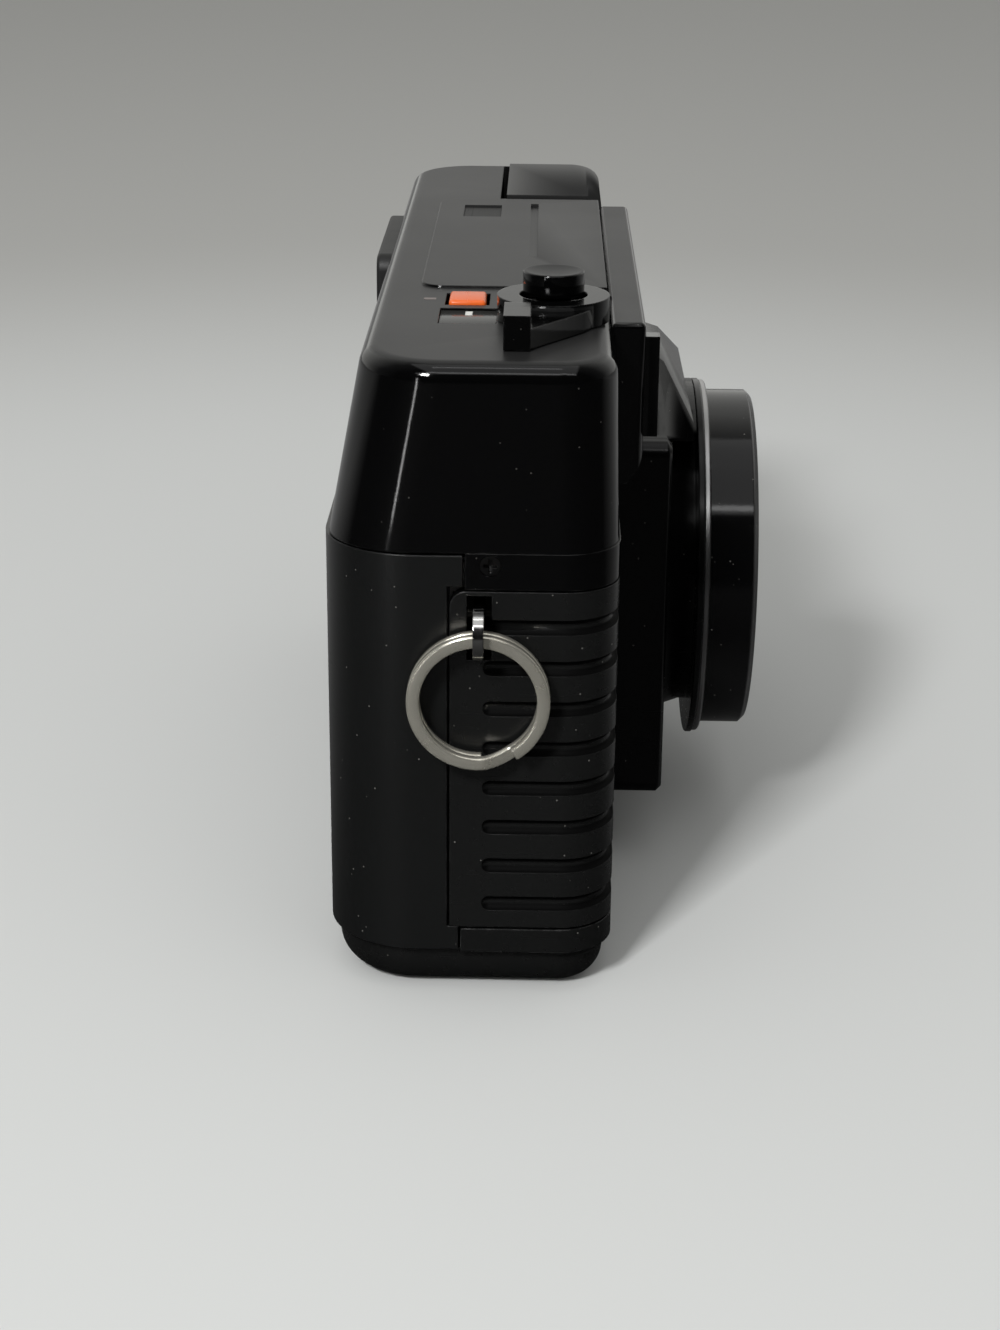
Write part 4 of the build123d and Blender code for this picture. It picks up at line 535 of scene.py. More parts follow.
class Finish(Enum):
    """Every finish on the camera."""

    # The gloss black's upward top faces get painted light through satin.
    GLOSS = Moulded(
        "gloss_black", (0.0012, 0.0012, 0.0013), roughness=0.07, unevenness=0.02, scratches=0.08,
        dust=0.15, satin=0.02
    )
    SATIN = Moulded(
        "case_satin", (0.02, 0.02, 0.02), roughness=0.34, unevenness=0.04, scratches=0.05, dust=0.15,
        edge=0.1, specular=0.22
    )
    RING_GLOSS = Moulded("ring_black", (0.002, 0.002, 0.0022), roughness=0.09, unevenness=0.02)
    LEVER = Moulded(
        "lever_black", (0.0015, 0.0015, 0.0016), unevenness=0.04, dust=0.15, specular=0.25
    )
    LENS_BLACK = Moulded(
        "lens_black", (0.0015, 0.0015, 0.0016), roughness=0.22, unevenness=0.04, grain=0.002, dust=0.15,
        edge=0.1, specular=0.35
    )
    SHELL = Moulded(
        "shell_black", (0.006, 0.0063, 0.0063), roughness=0.3, unevenness=0.05, grain=0.003,
        scratches=0.15
    )
    GRIP = Moulded(
        "grip_black", (0.006, 0.0062, 0.0061), roughness=0.24, unevenness=0.05, grain=0.004,
        edge=0.5
    )
    # The ribbed grip's grooves get painted shade through groove_shade.
    RIBBED = Moulded(
        "ribbed_grip", (0.007, 0.0072, 0.0071), roughness=0.24, unevenness=0.05, grain=0.004,
        edge=0.2, groove_shade=0.002
    )
    INNER = Moulded("inner_black", (0.012, 0.012, 0.012), roughness=0.6, grain=0.01, dust=0.2, edge=0.1)
    RUBBER = Moulded("black_rubber", (0.01, 0.01, 0.01), roughness=0.5, grain=0.012, grain_scale=3.0)
    ORANGE = Moulded(
        "orange_plastic", (0.86, 0.145, 0.02), roughness=0.25, edge=0.3, edge_colour=(0.95, 0.4, 0.2),
        dust=0.1
    )
    WHITE = Moulded("white_plastic", (0.72, 0.72, 0.68), roughness=0.4, edge_colour=(0.6, 0.6, 0.56))
    MARK = Moulded("white_paint", (0.8, 0.8, 0.76), roughness=0.5, edge=0.0, dust=0.1)
    FADED = Moulded("faded_mark", (0.2, 0.17, 0.16), roughness=0.5, edge=0.0, dust=0.1)
    SMOKED = Moulded("smoked_window", (0.003, 0.003, 0.0035), roughness=0.05, unevenness=0.02, edge=0.1)
    COUNTER = Moulded(
        "counter_grey", (0.05, 0.05, 0.048), roughness=0.16, unevenness=0.03, edge=0.0, specular=0.2
    )
    DARK_PANE = Moulded("dark_pane", (0.012, 0.012, 0.012), roughness=0.45, edge=0.0, specular=0.15)
    BOARD = Moulded("board_green", (0.02, 0.12, 0.05), roughness=0.35, edge_colour=(0.2, 0.2, 0.1))
    SLEEVE = Moulded("capacitor_sleeve", (0.01, 0.012, 0.05), roughness=0.3, edge=0.1)
    WRAP = Moulded("cell_wrap", (0.03, 0.035, 0.045), roughness=0.25, edge_colour=(0.4, 0.4, 0.4))
    CELL_BAND = Moulded("cell_band", (0.6, 0.6, 0.58), roughness=0.25, edge_colour=(0.4, 0.4, 0.4))
    NICKEL = Metal("nickel", (0.8, 0.77, 0.67), roughness=0.22, tarnish=0.2, metallic=0.82)
    CHROME = Metal("bright_chrome", (0.8, 0.8, 0.78), roughness=0.1, tarnish=0.08)
    # The lug's base plates carry painted shade of the recess they sit in.
    LUG = Metal("lug_chrome", (0.8, 0.8, 0.78), roughness=0.1, tarnish=0.08, shade_from=-62.3)
    STEEL = Metal("steel", (0.5, 0.5, 0.5), roughness=0.28, tarnish=0.12)
    BLACK_STEEL = Metal("blackened_steel", (0.06, 0.06, 0.06), roughness=0.3, tarnish=0.1)
    TRIM = Metal("silver_trim", (0.5, 0.5, 0.5), roughness=0.3, tarnish=0.05)
    BRASS = Metal("brass", (0.72, 0.5, 0.2), roughness=0.22, tarnish=0.2)
    MIRROR = Metal("reflector", (0.85, 0.85, 0.85), roughness=0.14, tarnish=0.02)
    CLEAR = Optical("clear_window", coating=(0.12, 0.12, 0.13))
    DIFFUSER = Optical("flash_diffuser", roughness=0.12, clearness=0.62, coating=(0.55, 0.56, 0.56))
    LENS = Optical("coated_glass", colour=(0.75, 0.8, 0.85), clearness=0.78, coating=(0.12, 0.05, 0.3))

    @property
    def material(self) -> bpy.types.Material:
        """The finish's material, made the first time it is asked for."""
        made = bpy.data.materials.get(LOOK + self.value.name)
        return made or self.value.build()


def picked(geometry: Iterable[Any], kind: type) -> list[Any]:
    """The vertices, edges or faces among what an operator returns."""
    return [item for item in geometry if isinstance(item, kind)]


class Shape:
    """A mesh being made with bmesh operators, in the model's metres."""

    def __init__(self) -> None:
        """Starts empty."""
        self.mesh = bmesh.new()

    def block(self, depths: Pair, runs: Pair, heights: Pair, bevel: float = 0.0, segments: int = 2) -> None:
        """Adds a block with softened edges.

        Args:
            depths: lowest and highest depth, in millimetres.
            runs: lowest and highest run.
            heights: lowest and highest height.
            bevel: how far the edges are cut back.
            segments: how many faces each softened edge has.
        """
        low, high = at(depths[0], runs[0], heights[0]), at(depths[1], runs[1], heights[1])
        place = Matrix.Translation((low + high) / 2) @ Matrix.Diagonal((*(high - low), 1.0))
        made = bmesh.ops.create_cube(self.mesh, size=1.0, matrix=place)
        if bevel:
            edges = {edge for vert in made["verts"] for edge in vert.link_edges}
            self.soften(edges, bevel, segments)

    def soften(self, edges: Iterable[bmesh.types.BMEdge], width: float, segments: int = 2) -> None:
        """Bevels edges by a width in millimetres."""
        bmesh.ops.bevel(
            self.mesh,
            geom=list(edges),
            offset=width * MM,
            offset_type="OFFSET",
            segments=segments,
            profile=0.5,
            affect="EDGES",
            material=-1,
            clamp_overlap=True,
        )

    def prism(self, corners: Sequence[Vector], push: Vector) -> None:
        """Pulls a flat outline along a vector.

        Args:
            corners: the outline's corners in order.
            push: the way and how far it is pulled.
        """
        face = self.mesh.faces.new([self.mesh.verts.new(corner) for corner in corners])
        pulled = bmesh.ops.extrude_face_region(self.mesh, geom=[face])
        bmesh.ops.translate(self.mesh, verts=picked(pulled["geom"], bmesh.types.BMVert), vec=push)

    def lathe(self, points: Sequence[Pair], centre: Vector, axis: Vector) -> None:
        """Spins an outline of (along, radius) points in millimetres about an axis.

        Args:
            points: the outline; one that ends at radius 0 is closed at its pole.
            centre: the point on the axis from which distances along it are counted.
            axis: the axis, of unit length.
        """
        side = axis.orthogonal().normalized()
        verts = [self.mesh.verts.new(centre + axis * (a * MM) + side * (r * MM)) for a, r in points]
        edges = [self.mesh.edges.new(pair) for pair in zip(verts, verts[1:])]
        bmesh.ops.spin(
            self.mesh,
            geom=verts + edges,
            cent=centre,
            axis=axis,
            angle=2 * pi,
            steps=LATHE_STEPS,
            use_merge=True,
        )

    def data(self, name: str, finish: Finish, smooth: float) -> bpy.types.Mesh:
        """Turns the shape into a mesh with a finish.

        Args:
            name: the mesh's name.
            finish: the finish it gets.
            smooth: edges that turn by less than this many degrees are shaded smooth.

        Returns:
            The new mesh.
        """
        data = bpy.data.meshes.new(name)
        self.mesh.to_mesh(data)
        self.mesh.free()
        data.shade_smooth()
        data.set_sharp_from_angle(angle=radians(smooth))
        data.materials.append(finish.material)
        return data

    def piece(self, name: str, finish: Finish, body: str, smooth: float = 35.0) -> bpy.types.Object:
        """Closes the shape and makes it a piece that rides on a body.

        Args:
            name: the piece's name.
            finish: the finish it gets.
            body: the body it rides on.
            smooth: edges that turn by less than this many degrees are shaded smooth.

        Returns:
            The new object.
        """
        bmesh.ops.remove_doubles(self.mesh, verts=self.mesh.verts, dist=1e-7)
        bmesh.ops.recalc_face_normals(self.mesh, faces=self.mesh.faces)
        made = linked(name, self.data(name, finish, smooth))
        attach(made, body)
        log.info("piece %s on %s, %d faces", name, body, len(made.data.polygons))
        return made


@dataclass
class StrapRing:
    """The split ring: one flat wire wound in two turns, which cross over beside its ends."""

    depth: float = 17.9
    run: float = -2.0
    hole_height: float = 45.5
    outer_radius: float = 8.1
    wire_width: float = 1.5
    wire_thickness: float = 1.1
    turn_gap: float = 0.1
    end_angle: float = -56.0
    flat_turn: float = 332.0
    crossing: float = 25.0
    corner: float = 0.32
    flat_steps: int = 120
    crossing_steps: int = 14

    def build(self) -> None:
        """Winds the wire."""
        shape = Shape()
        height = self.hole_height - self.outer_radius + self.wire_width / 2
        pitch = self.wire_thickness + self.turn_gap
        centre = at(self.depth, self.run - pitch / 2, height)
        turn = radians(self.end_angle)
        outward = Vector((cos(turn), 0.0, sin(turn)))
        half = self.wire_thickness / 2
        inner = self.outer_radius - self.wire_width
        corners = ((inner, -half), (self.outer_radius, -half), (self.outer_radius, half), (inner, half))
        places = [centre + (outward * r + ALONG_CASE * a) * MM for r, a in corners]
        verts = [shape.mesh.verts.new(place) for place in places]
        face = shape.mesh.faces.new(verts)
        rounded = bmesh.ops.bevel(
            shape.mesh,
            geom=list(face.verts),
            offset=self.corner * MM,
            segments=3,
            profile=0.5,
            affect="VERTICES",
            material=-1,
        )
        end = rounded["faces"] or list(shape.mesh.faces)
        end = end + [edge for one in end for edge in one.edges] + [vert for one in end for vert in one.verts]
        end = list(dict.fromkeys(end))
        flat = (self.flat_turn, self.flat_steps, 0.0)
        crossing = (self.crossing, self.crossing_steps, pitch / self.crossing_steps)
        for degrees_turned, steps, drift in (flat, crossing, flat):
            wound = bmesh.ops.spin(
                shape.mesh,
                geom=end,
                cent=centre,
                axis=ALONG_CASE,
                dvec=ALONG_CASE * (drift * MM),
                angle=-radians(degrees_turned),
                steps=steps,
                use_merge=False,
            )
            end = wound["geom_last"]
        stands_for(shape.piece("ring_wire", Finish.NICKEL, "strap_ring"), "split_ring")


@dataclass
class ShutterButton:
    """The shutter button, turned in one piece: a dished cap with a rounded rim, and its stem."""

    depth: float = 25.7
    run: float = 22.0
    top: float = 82.0
    radius: float = 3.55
    cap: float = 2.6
    dish: float = 0.35
    rim: float = 0.22
    rim_reach: float = 1.6
    cap_edge: float = 0.08
    stem_radius: float = 2.0
    stem_bottom: float = 70.6
    foot_radius: float = 3.2
    foot: float = 1.0
    dish_steps: int = 10
    rim_steps: int = 5

    def build(self) -> None:
        """Turns the button."""
        inner = self.radius - self.rim * self.rim_reach
        points = [
            (-self.dish * (1.0 - (step / self.dish_steps) ** 2), inner * step / self.dish_steps)
            for step in range(self.dish_steps + 1)
        ]
        for step in range(self.rim_steps + 1):
            angle = pi / 2 * step / self.rim_steps
            points.append((self.rim * (cos(angle) - 1.0), self.radius - self.rim * (1.0 - sin(angle))))
        low = self.stem_bottom - self.top
        points += [
            (-self.cap + self.cap_edge, self.radius),
            (-self.cap, self.radius - self.cap_edge),
            (-self.cap, self.stem_radius),
            (low + self.foot, self.stem_radius),
            (low + self.foot, self.foot_radius),
            (low, self.foot_radius),
            (low, 0.0),
        ]
        shape = Shape()
        shape.lathe(points, at(self.depth, self.run, self.top), UP)
        stands_for(shape.piece("shutter_cap", Finish.GLOSS, "release", smooth=50.0), "shutter_button")


@dataclass
class TopMarks:
    """The counter window with its index dot, and the short mark beside the push button."""

    depths: Pair = (12.4, 19.2)
    runs: Pair = (19.4, 27.5)
    heights: Pair = (75.1, 75.93)
    pane_bevel: float = 0.12
    mark_depths: Pair = (15.4, 16.25)
    mark_runs: Pair = (24.9, 26.8)
    paint: float = 0.03
    dash_depths: Pair = (10.2, 11.7)
    dash_runs: Pair = (31.9, 32.9)
    top: float = 76.2

    def build(self) -> None:
        """Makes the pane and the painted marks."""
        pane = Shape()
        pane.block(self.depths, self.runs, self.heights, self.pane_bevel)
        stands_for(pane.piece("counter_pane", Finish.COUNTER, "camera_body"), "counter_window")
        self.paint_mark("index_mark", Finish.MARK, self.mark_depths, self.mark_runs, self.heights[1])
        self.paint_mark("button_mark", Finish.FADED, self.dash_depths, self.dash_runs, self.top)

    def paint_mark(self, name: str, finish: Finish, depths: Pair, runs: Pair, height: float) -> None:
        """Paints one mark on the surface at a height.

        Args:
            name: the mark's name.
            finish: its paint.
            depths: its lowest and highest depth.
            runs: its lowest and highest run.
            height: the height of the surface.
        """
        mark = Shape()
        mark.block(depths, runs, (height, height + self.paint))
        mark.piece(name, finish, "camera_body")


@dataclass
class PushButton:
    """The push button, with a rounded top and the foot that keeps it in its slot."""

    depths: Pair = (13.3, 17.7)
    runs: Pair = (29.6, 35.2)
    heights: Pair = (72.0, 76.62)
    round: float = 0.4
    foot: float = 0.9
    foot_heights: Pair = (73.1, 73.8)
    foot_bevel: float = 0.15

    def build(self) -> None:
        """Makes the button and its foot."""
        shape = Shape()
        foot_depths = (self.depths[0] - self.foot, self.depths[1] + self.foot)
        foot_runs = (self.runs[0] - self.foot, self.runs[1] + self.foot)
        shape.block(foot_depths, foot_runs, self.foot_heights, self.foot_bevel)
        shape.block(self.depths, self.runs, self.heights, self.round, 4)
        stands_for(shape.piece("push_cap", Finish.ORANGE, "small_button"), "push_button")


@dataclass
class FlashPane:
    """The flash window, with upright ridges over its whole face."""

    depths: Pair = (31.98, 32.58)
    runs: Pair = (106.6, 125.6)
    heights: Pair = (62.6, 72.6)
    ridge: float = 0.25
    count: int = 26

    def build(self) -> None:
        """Makes the pane as one outline pulled upward."""
        (back, crest), (near, far), (low, high) = self.depths, self.runs, self.heights
        width = (far - near) / self.count
        valley = crest - self.ridge
        corners = [at(back, far, low), at(back, near, low)]
        for count in range(self.count):
            start = near + width * count
            corners += [at(valley, start, low), at(crest, start + width / 2, low)]
        corners.append(at(valley, far, low))
        shape = Shape()
        shape.prism(corners, UP * ((high - low) * MM))
        stands_for(shape.piece("flash_lens", Finish.DIFFUSER, "flash"), "flash_window")


@dataclass
class PressurePlate:
    """The pressure plate, whose film side is covered in small dimples."""

    depths: Pair = (3.9, 4.9)
    runs: Pair = (41.0, 83.0)
    heights: Pair = (16.8, 52.2)
    across: int = 28
    up: int = 24
    rim: float = 0.42
    dimple: float = 0.12

    def build(self) -> None:
        """Makes the plate from a grid whose squares are set in."""
        shape = Shape()
        (rear, front), (near, far), (bottom, top) = self.depths, self.runs, self.heights
        low, high = at(front, near, bottom), at(front, far, top)
        spread = Matrix.Diagonal((high.y - low.y, high.z - low.z, 1.0, 1.0))
        upright = Matrix((UP, (1.0, 0.0, 0.0), ALONG_CASE)).to_4x4()
        place = Matrix.Translation((low + high) / 2) @ upright @ spread
        bmesh.ops.create_grid(shape.mesh, x_segments=self.across, y_segments=self.up, size=0.5, matrix=place)
        bmesh.ops.recalc_face_normals(shape.mesh, faces=shape.mesh.faces)
        face_out = 1.0 if shape.mesh.faces[:][0].normal.x > 0 else -1.0
        squares = list(shape.mesh.faces)
        border = [edge for edge in shape.mesh.edges if len(edge.link_faces) == 1]
        bmesh.ops.inset_individual(
            shape.mesh,
            faces=squares,
            thickness=self.rim * MM,
            depth=-self.dimple * MM * face_out,
        )
        pulled = bmesh.ops.extrude_edge_only(shape.mesh, edges=border)["geom"]
        backward = Vector(((rear - front) * MM, 0.0, 0.0))
        bmesh.ops.translate(shape.mesh, verts=picked(pulled, bmesh.types.BMVert), vec=backward)
        bmesh.ops.contextual_create(shape.mesh, geom=picked(pulled, bmesh.types.BMEdge))
        stands_for(shape.piece("film_plate", Finish.BLACK_STEEL, "door"), "pressure_plate")


@dataclass
class Cells:
    """The two cells: a printed wrap, a pale band, and metal ends."""

    run: float = 10.15
    rear_depth: float = 10.15
    front_depth: float = 24.75
    bottom: float = 3.3
    length: float = 50.5
    radius: float = 7.25
    nub_radius: float = 2.75
    nub: float = 1.4
    nub_edge: float = 0.4
    edge: float = 0.5
    edge_rise: float = 0.15
    lip: float = 0.3
    end_lap: float = 0.1
    band: float = 9.0

    def build(self) -> None:
        """Makes both cells, the front one upside down."""
        rear = at(self.rear_depth, self.run, self.bottom)
        front = at(self.front_depth, self.run, self.bottom + self.length)
        stands_for(self.cell("rear", rear, UP), "battery_cells")
        self.cell("front", front, -UP)

    def cell(self, name: str, foot: Vector, axis: Vector) -> bpy.types.Object:
        """Turns one cell.

        Args:
            name: which cell it is.
            foot: the middle of its flat end.
            axis: the way from there to its nub.

        Returns:
            The cell's wrap.
        """
        body = self.length - self.nub
        rim = self.radius - self.edge
        inner = rim - self.lip
        disc = inner + self.end_lap
        wrap_end = ((self.edge, inner), (self.edge_rise, rim), (self.edge, self.radius))
        band_end = ((body - a, r) for a, r in reversed(wrap_end))
        seam = (body - self.band, self.radius)
        nub_end = (
            (body - self.edge, disc),
            (body - self.edge, self.nub_radius + self.nub_edge),
            (body - self.edge + self.lip, self.nub_radius),
            (self.length - self.lip, self.nub_radius),
            (self.length, self.nub_radius - self.nub_edge),
            (self.length, 0.0),
        )
        flat_end = ((self.edge, 0.0), (self.edge, disc))
        wrap, band, ends = Shape(), Shape(), Shape()
        wrap.lathe((*wrap_end, seam), foot, axis)
        band.lathe((seam, *band_end), foot, axis)
        ends.lathe(flat_end, foot, axis)
        ends.lathe(nub_end, foot, axis)
        made = wrap.piece(f"{name}_cell_wrap", Finish.WRAP, "camera_body")
        band.piece(f"{name}_cell_band", Finish.CELL_BAND, "camera_body")
        ends.piece(f"{name}_cell_ends", Finish.CHROME, "camera_body")
        return made


@dataclass
class BoardChips:
    """The three chips on the circuit board, each with two rows of legs."""

    starts: tuple[float, ...] = (50.0, 59.0, 68.0)
    depths: Pair = (12.0, 18.0)
    size: float = 6.0
    heights: Pair = (57.6, 59.0)
    cover: float = 0.03
    bevel: float = 0.15
    legs: int = 7
    leg_margin: float = 0.5
    leg_width: float = 0.3
    leg_reach: float = 0.9
    leg_height: float = 0.7
    leg_bevel: float = 0.05

    def build(self) -> None:
        """Makes the chip bodies as one piece and their legs as another."""
        bodies, legs = Shape(), Shape()
        low, high = self.heights
        rear, front = self.depths[0] - self.cover, self.depths[1] + self.cover
        leg_depths = ((rear - self.leg_reach, rear), (front, front + self.leg_reach))
        leg_heights = (low, low + self.leg_height)
        step = (self.size - 2 * self.leg_margin) / (self.legs - 1)
        for start in self.starts:
            runs = (start - self.cover, start + self.size + self.cover)
            bodies.block((rear, front), runs, (low, high + self.cover), self.bevel)
            for count in range(self.legs):
                middle = start + self.leg_margin + step * count
                leg_runs = (middle - self.leg_width / 2, middle + self.leg_width / 2)
                for depths in leg_depths:
                    legs.block(depths, leg_runs, leg_heights, self.leg_bevel)
        bodies.piece("chip_bodies", Finish.INNER, "camera_body")
        legs.piece("chip_legs", Finish.NICKEL, "camera_body")


@dataclass
class SocketThread:
    """The thread in the tripod socket, wound as one ridge."""

    radius: float = 3.05
    crest: float = 2.62
    pitch: float = 1.27
    flank: float = 0.42
    start: float = 0.25
    turns: int = 3
    steps: int = 48

    def build(self) -> None:
        """Winds the ridge."""
        shape = Shape()
        half = self.pitch * self.flank
        corners = ((0.0, self.radius), (half, self.crest), (2 * half, self.radius))
        verts = [shape.mesh.verts.new(Vector((r, 0.0, self.start + a)) * MM) for a, r in corners]
        face = shape.mesh.faces.new(verts)
        bmesh.ops.spin(
            shape.mesh,
            geom=[*verts, *face.edges, face],
            cent=Vector((0.0, 0.0, 0.0)),
            axis=UP,
            dvec=UP * (self.pitch * MM / self.steps),
            angle=2 * pi * self.turns,
            steps=self.steps * self.turns,
            use_merge=False,
        )
        shape.piece("socket_thread", Finish.STEEL, "camera_body")


@dataclass
class Skins:
    """Smooth copies of the case's own solids, so that gloss runs evenly over their curves."""

    merge_gap: float = 1e-6
    smooth: float = 42.0
    flat: float = 0.05
    spring_keep: float = 0.8
    dressed: ClassVar[dict[str, Finish]] = {
        "top_cover": Finish.GLOSS,
        "flash_case": Finish.SATIN,
        "bottom_cover": Finish.GRIP,
        "battery_lid": Finish.GRIP,
        "front_cover": Finish.GLOSS,
        "grip_cover": Finish.RIBBED,
        "back_door": Finish.SHELL,
        "finder_housing": Finish.GLOSS,
        "eyepiece_frame": Finish.RUBBER,
        "lens_base": Finish.LENS_BLACK,
        "lens_barrel": Finish.LENS_BLACK,
        "strap_lug": Finish.LUG,
        "front_ring": Finish.RING_GLOSS,
        "trim_ring": Finish.TRIM,
        "lens_guide": Finish.INNER,
        "focus_mount": Finish.INNER,
        "front_glass": Finish.LENS,
        "rear_glass": Finish.LENS,
        "tripod_socket": Finish.STEEL,
        "case_screws": Finish.BLACK_STEEL,
        "door_latch": Finish.SHELL,
        "shutter_spring": Finish.STEEL,
        "lever_ring": Finish.LEVER,
        "take_up_spool": Finish.INNER,
        "main_chassis": Finish.INNER,
        "capacitor": Finish.SLEEVE,
        "drive_motor": Finish.STEEL,
    }

    def build(self) -> None:
        """Copies each solid, and gives the shutter spring's copy a mesh of its own."""
        for node, finish in self.dressed.items():
            skin = self.skin(node, finish)
            if node == "shutter_spring":
                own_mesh(skin)
            log.info("skin of %s", node)

    def skin(self, node: str, finish: Finish) -> bpy.types.Object:
        """Makes the copy that stands for a solid: merged, flat where it is flat, and evenly shaded.

        Args:
            node: the solid's node.
            finish: the finish that the copy gets.

        Returns:
            The copy.
        """
        source = frame["nodes"][node]
        shape = Shape()
        shape.mesh.from_mesh(source.data)
        bmesh.ops.remove_doubles(shape.mesh, verts=shape.mesh.verts, dist=self.merge_gap)
        bmesh.ops.dissolve_limit(
            shape.mesh,
            angle_limit=radians(self.flat),
            verts=shape.mesh.verts,
            edges=shape.mesh.edges,
        )
        skin = linked(f"{node}_skin", shape.data(f"{node}_skin", finish, self.smooth))
        weighted = skin.modifiers.new("even_shading", "WEIGHTED_NORMAL")
        weighted.mode = "FACE_AREA"
        weighted.weight = 100
        weighted.keep_sharp = True
        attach(skin, source["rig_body"])
        stands_for(skin, node)
        return skin


@dataclass
class PlainNodes:
    """Finishes for the solids that stay as they are."""

    finishes: ClassVar[dict[str, Finish]] = {
        "indicator_window": Finish.DARK_PANE,
        "front_windows": Finish.SMOKED,
        "focus_sensors": Finish.INNER,
        "finder_tunnel": Finish.INNER,
        "finder_objective": Finish.CLEAR,
        "eyepiece_lens": Finish.CLEAR,
        "shutter_plate": Finish.INNER,
        "shutter_blade_near": Finish.BLACK_STEEL,
        "shutter_blade_far": Finish.BLACK_STEEL,
        "door_hinge_pin": Finish.STEEL,
        "battery_lid_pin": Finish.STEEL,
        "pressure_springs": Finish.STEEL,
        "flash_spring": Finish.STEEL,
        "counter_dial": Finish.WHITE,
        "top_bracket": Finish.STEEL,
        "circuit_board": Finish.BOARD,
        "flash_reflector": Finish.MIRROR,
        "flash_tube": Finish.CLEAR,
        "motor_pinion": Finish.BRASS,
        "transfer_gear": Finish.WHITE,
        "rewind_gear_1": Finish.WHITE,
        "rewind_gear_2": Finish.WHITE,
        "rewind_fork": Finish.WHITE,
        "film_sprocket": Finish.INNER,
        "battery_contacts": Finish.NICKEL,
        "lid_contact": Finish.NICKEL,
    }

    def build(self) -> None:
        """Gives each solid its finish."""
        for node, finish in self.finishes.items():
            data = frame["nodes"][node].data
            data.materials.clear()
            data.materials.append(finish.material)
            log.info("finish of %s", node)


@dataclass(frozen=True)
class Lamp:
    """One area lamp that points at the object's middle.

    Its place is in millimetres, its size in metres and its power in watts. With reflected_only, it shows in
    reflections and lights nothing.
    """

    name: str
    place: Point
    size: Pair
    power: float
    reflected_only: bool = False
    target: Point = (0.0, 0.0, 35.0)

    def build(self) -> None:
        """Hangs the lamp."""
        data = bpy.data.lights.new(self.name, "AREA")
        data.shape = "RECTANGLE"
        data.size, data.size_y = self.size
        data.energy = self.power
        lamp = linked(self.name, data)
        lamp.location = Vector(self.place) * MM
        aim = (Vector(self.target) - Vector(self.place)) * MM
        lamp.rotation_euler = aim.to_track_quat("-Z", "Y").to_euler()
        lamp.visible_diffuse = not self.reflected_only
        log.info("lamp %s", self.name)


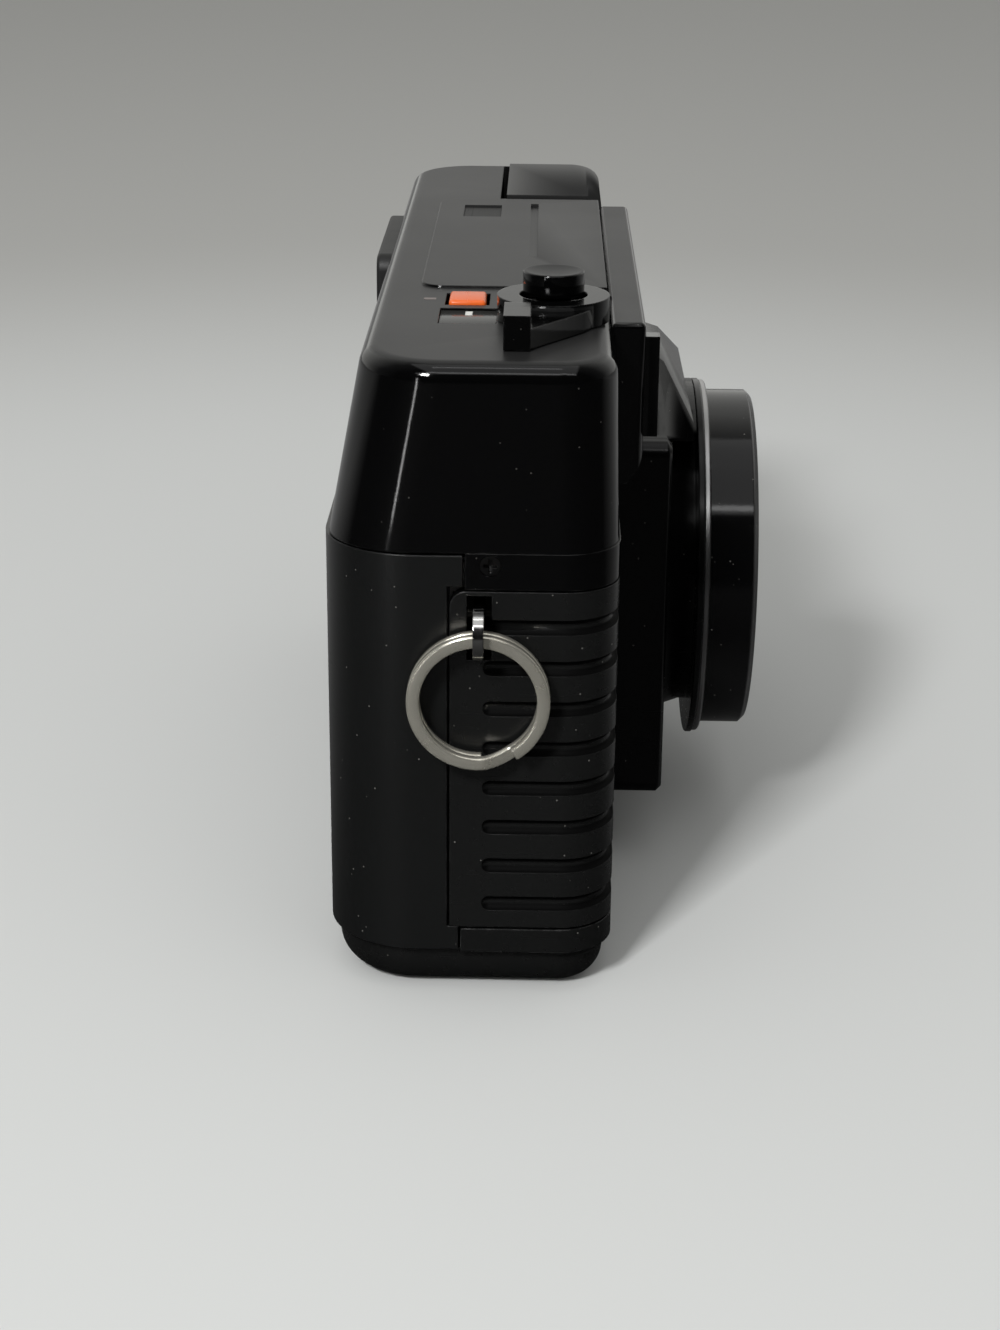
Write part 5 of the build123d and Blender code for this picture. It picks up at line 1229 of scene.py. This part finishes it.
@dataclass
class Studio:
    """The pale floor, the light and the camera at the photograph's viewpoint."""

    camera_at: Point = (12.56, -313.76, 138.53)
    yaw: float = -0.017
    pitch: float = -0.367
    roll: float = 0.009
    focal_pixels: float = 2400.0
    image_height: float = 1330.0
    sensor: float = 36.0
    clip: Pair = (0.01, 30.0)
    floor_half: float = 4.0
    # floor_near, floor_far and fade: the floor is paler round the object and greyer farther off, painted
    # shade of a backdrop that gets less light.
    floor_near: float = 0.7
    floor_far: float = 0.52
    floor_tint: Point = (0.985, 1.0, 0.985)
    far_tint: Point = (1.0, 1.0, 0.965)
    fade: Pair = (170.0, 420.0)
    # floor_dark, floor_bright and floor_turn: a painted reflection, the floor's grey in glossy rays,
    # near-black in front of the case and brighter behind.
    floor_dark: float = 0.012
    floor_bright: float = 0.4
    floor_turn: Pair = (-60.0, 160.0)
    paper_roughness: float = 0.7
    paper_specular: float = 0.2
    tooth_scale: float = 0.4
    tooth: float = 0.03
    dark: float = 0.004
    side: float = 0.09
    wall: float = 0.62
    room_turn: Point = (0.3, 0.55, 0.82)
    ambient: float = 0.4
    ambient_tint: Point = (1.0, 1.0, 0.98)
    lamps: tuple[Lamp, ...] = (
        Lamp("key", (-337.0, -771.0, 707.0), (0.17, 0.17), 7.5),
        Lamp("overhead", (60.0, -300.0, 1100.0), (0.9, 1.2), 1.9),
        Lamp("ridge_strip", (-20.0, -150.0, 1050.0), (0.18, 0.05), 0.08, True),
        Lamp("corner_strip", (-140.0, -285.0, 40.0), (0.008, 0.16), 0.04, True),
        Lamp("edge_strip", (10.0, -330.0, 420.0), (0.5, 0.03), 0.12, True),
    )

    def build(self) -> None:
        """Makes the camera, the floor, the room and the lamps."""
        self.make_camera()
        self.make_floor()
        self.make_world()
        for lamp in self.lamps:
            lamp.build()

    def make_camera(self) -> None:
        """Sets up the camera."""
        level = cos(self.pitch)
        forward = Vector((sin(self.yaw) * level, cos(self.yaw) * level, sin(self.pitch)))
        right = Vector((cos(self.yaw), -sin(self.yaw), 0.0))
        up = right.cross(forward)
        turned_right = right * cos(self.roll) + up * sin(self.roll)
        turned_up = up * cos(self.roll) - right * sin(self.roll)
        data = bpy.data.cameras.new("viewpoint")
        data.sensor_width = self.sensor
        data.lens = self.sensor * self.focal_pixels / self.image_height
        data.clip_start, data.clip_end = self.clip
        camera = linked("viewpoint", data)
        turn = Matrix((turned_right, turned_up, -forward)).transposed().to_4x4()
        camera.matrix_world = Matrix.Translation(Vector(self.camera_at) * MM) @ turn
        bpy.context.scene.camera = camera
        log.info("camera ready")

    def make_floor(self) -> None:
        """Makes the floor."""
        mesh = bmesh.new()
        bmesh.ops.create_grid(mesh, x_segments=8, y_segments=8, size=self.floor_half)
        data = bpy.data.meshes.new("floor")
        mesh.to_mesh(data)
        mesh.free()
        data.materials.append(self.paper())
        linked("floor", data)
        log.info("floor ready")

    def paper(self) -> bpy.types.Material:
        """Makes the floor's paper: pale round the object, greyer farther off as painted shade, and dark in
        near reflections as a painted reflection.
        """
        graph = Graph.of_material("floor_paper")
        flat = graph.node("Mapping", inputs={"Vector": graph.places(), "Scale": (1.0, 1.0, 0.0)})
        away = graph.node("VectorMath", {"operation": "LENGTH"}, {0: flat}, out=1)
        # Painted shade: the floor greys with distance from the object.
        share = away.above(self.fade[0], self.fade[1] - self.fade[0])
        painted_far_shade = share * share * (3.0 - share * 2.0)
        base = graph.mix(painted_far_shade, grey(self.floor_near, self.floor_tint), grey(self.floor_far, self.far_tint))
        # Painted reflection: glossy rays see the floor near-black in front and brighter behind, not its own
        # colour.
        along = graph.part_of(graph.places(), "Y")
        behind = along.above(self.floor_turn[0], self.floor_turn[1] - self.floor_turn[0])
        painted_reflection = graph.mix(behind, grey(self.floor_dark), grey(self.floor_bright))
        reflected = graph.node("LightPath", out="Is Glossy Ray")
        shader = graph.principled(
            Base_Color=graph.mix(reflected, base, painted_reflection),
            Roughness=self.paper_roughness,
            Normal=graph.bump(graph.noise(self.tooth_scale) * self.tooth, 0.2),
            Specular_IOR_Level=self.paper_specular,
        )
        return graph.end(shader)

    def make_world(self) -> None:
        """Makes the room. In reflections it is bright behind and dark on the side of the camera."""
        world = bpy.data.worlds.new("room")
        bpy.context.scene.world = world
        graph = Graph(world)
        direction = graph.node("TexCoord", out="Generated")
        along = graph.part_of(direction, "Y")
        share = graph.node("MapRange", inputs={"Value": along, "From Min": -1.0}, out="Result")
        colours = (grey(self.dark), grey(self.side), grey(self.wall, self.far_tint))
        stops = {"stops": tuple(zip(self.room_turn, colours))}
        walls = graph.node("ValToRGB", stops, {"Fac": share}, out="Color")
        plain = {"Color": grey(1.0, self.ambient_tint), "Strength": self.ambient}
        lit = graph.node("Background", inputs=plain)
        seen = graph.node("Background", inputs={"Color": walls})
        reflected = graph.node("LightPath", out="Is Glossy Ray")
        graph.end(graph.blend(reflected, lit, seen), "OutputWorld")
        log.info("room ready")


def main() -> None:
    """Builds the classes in order."""
    logging.basicConfig(level=logging.INFO, format="%(name)s: %(message)s")
    bpy.context.scene.view_settings.view_transform = "Standard"
    Studio().build()
    shown = (StrapRing, ShutterButton, TopMarks, PushButton, FlashPane)
    hidden = (PressurePlate, Cells, BoardChips, SocketThread)
    for group in (PlainNodes, Skins, *shown, *hidden):
        group().build()


if __name__ == "__main__":
    main()
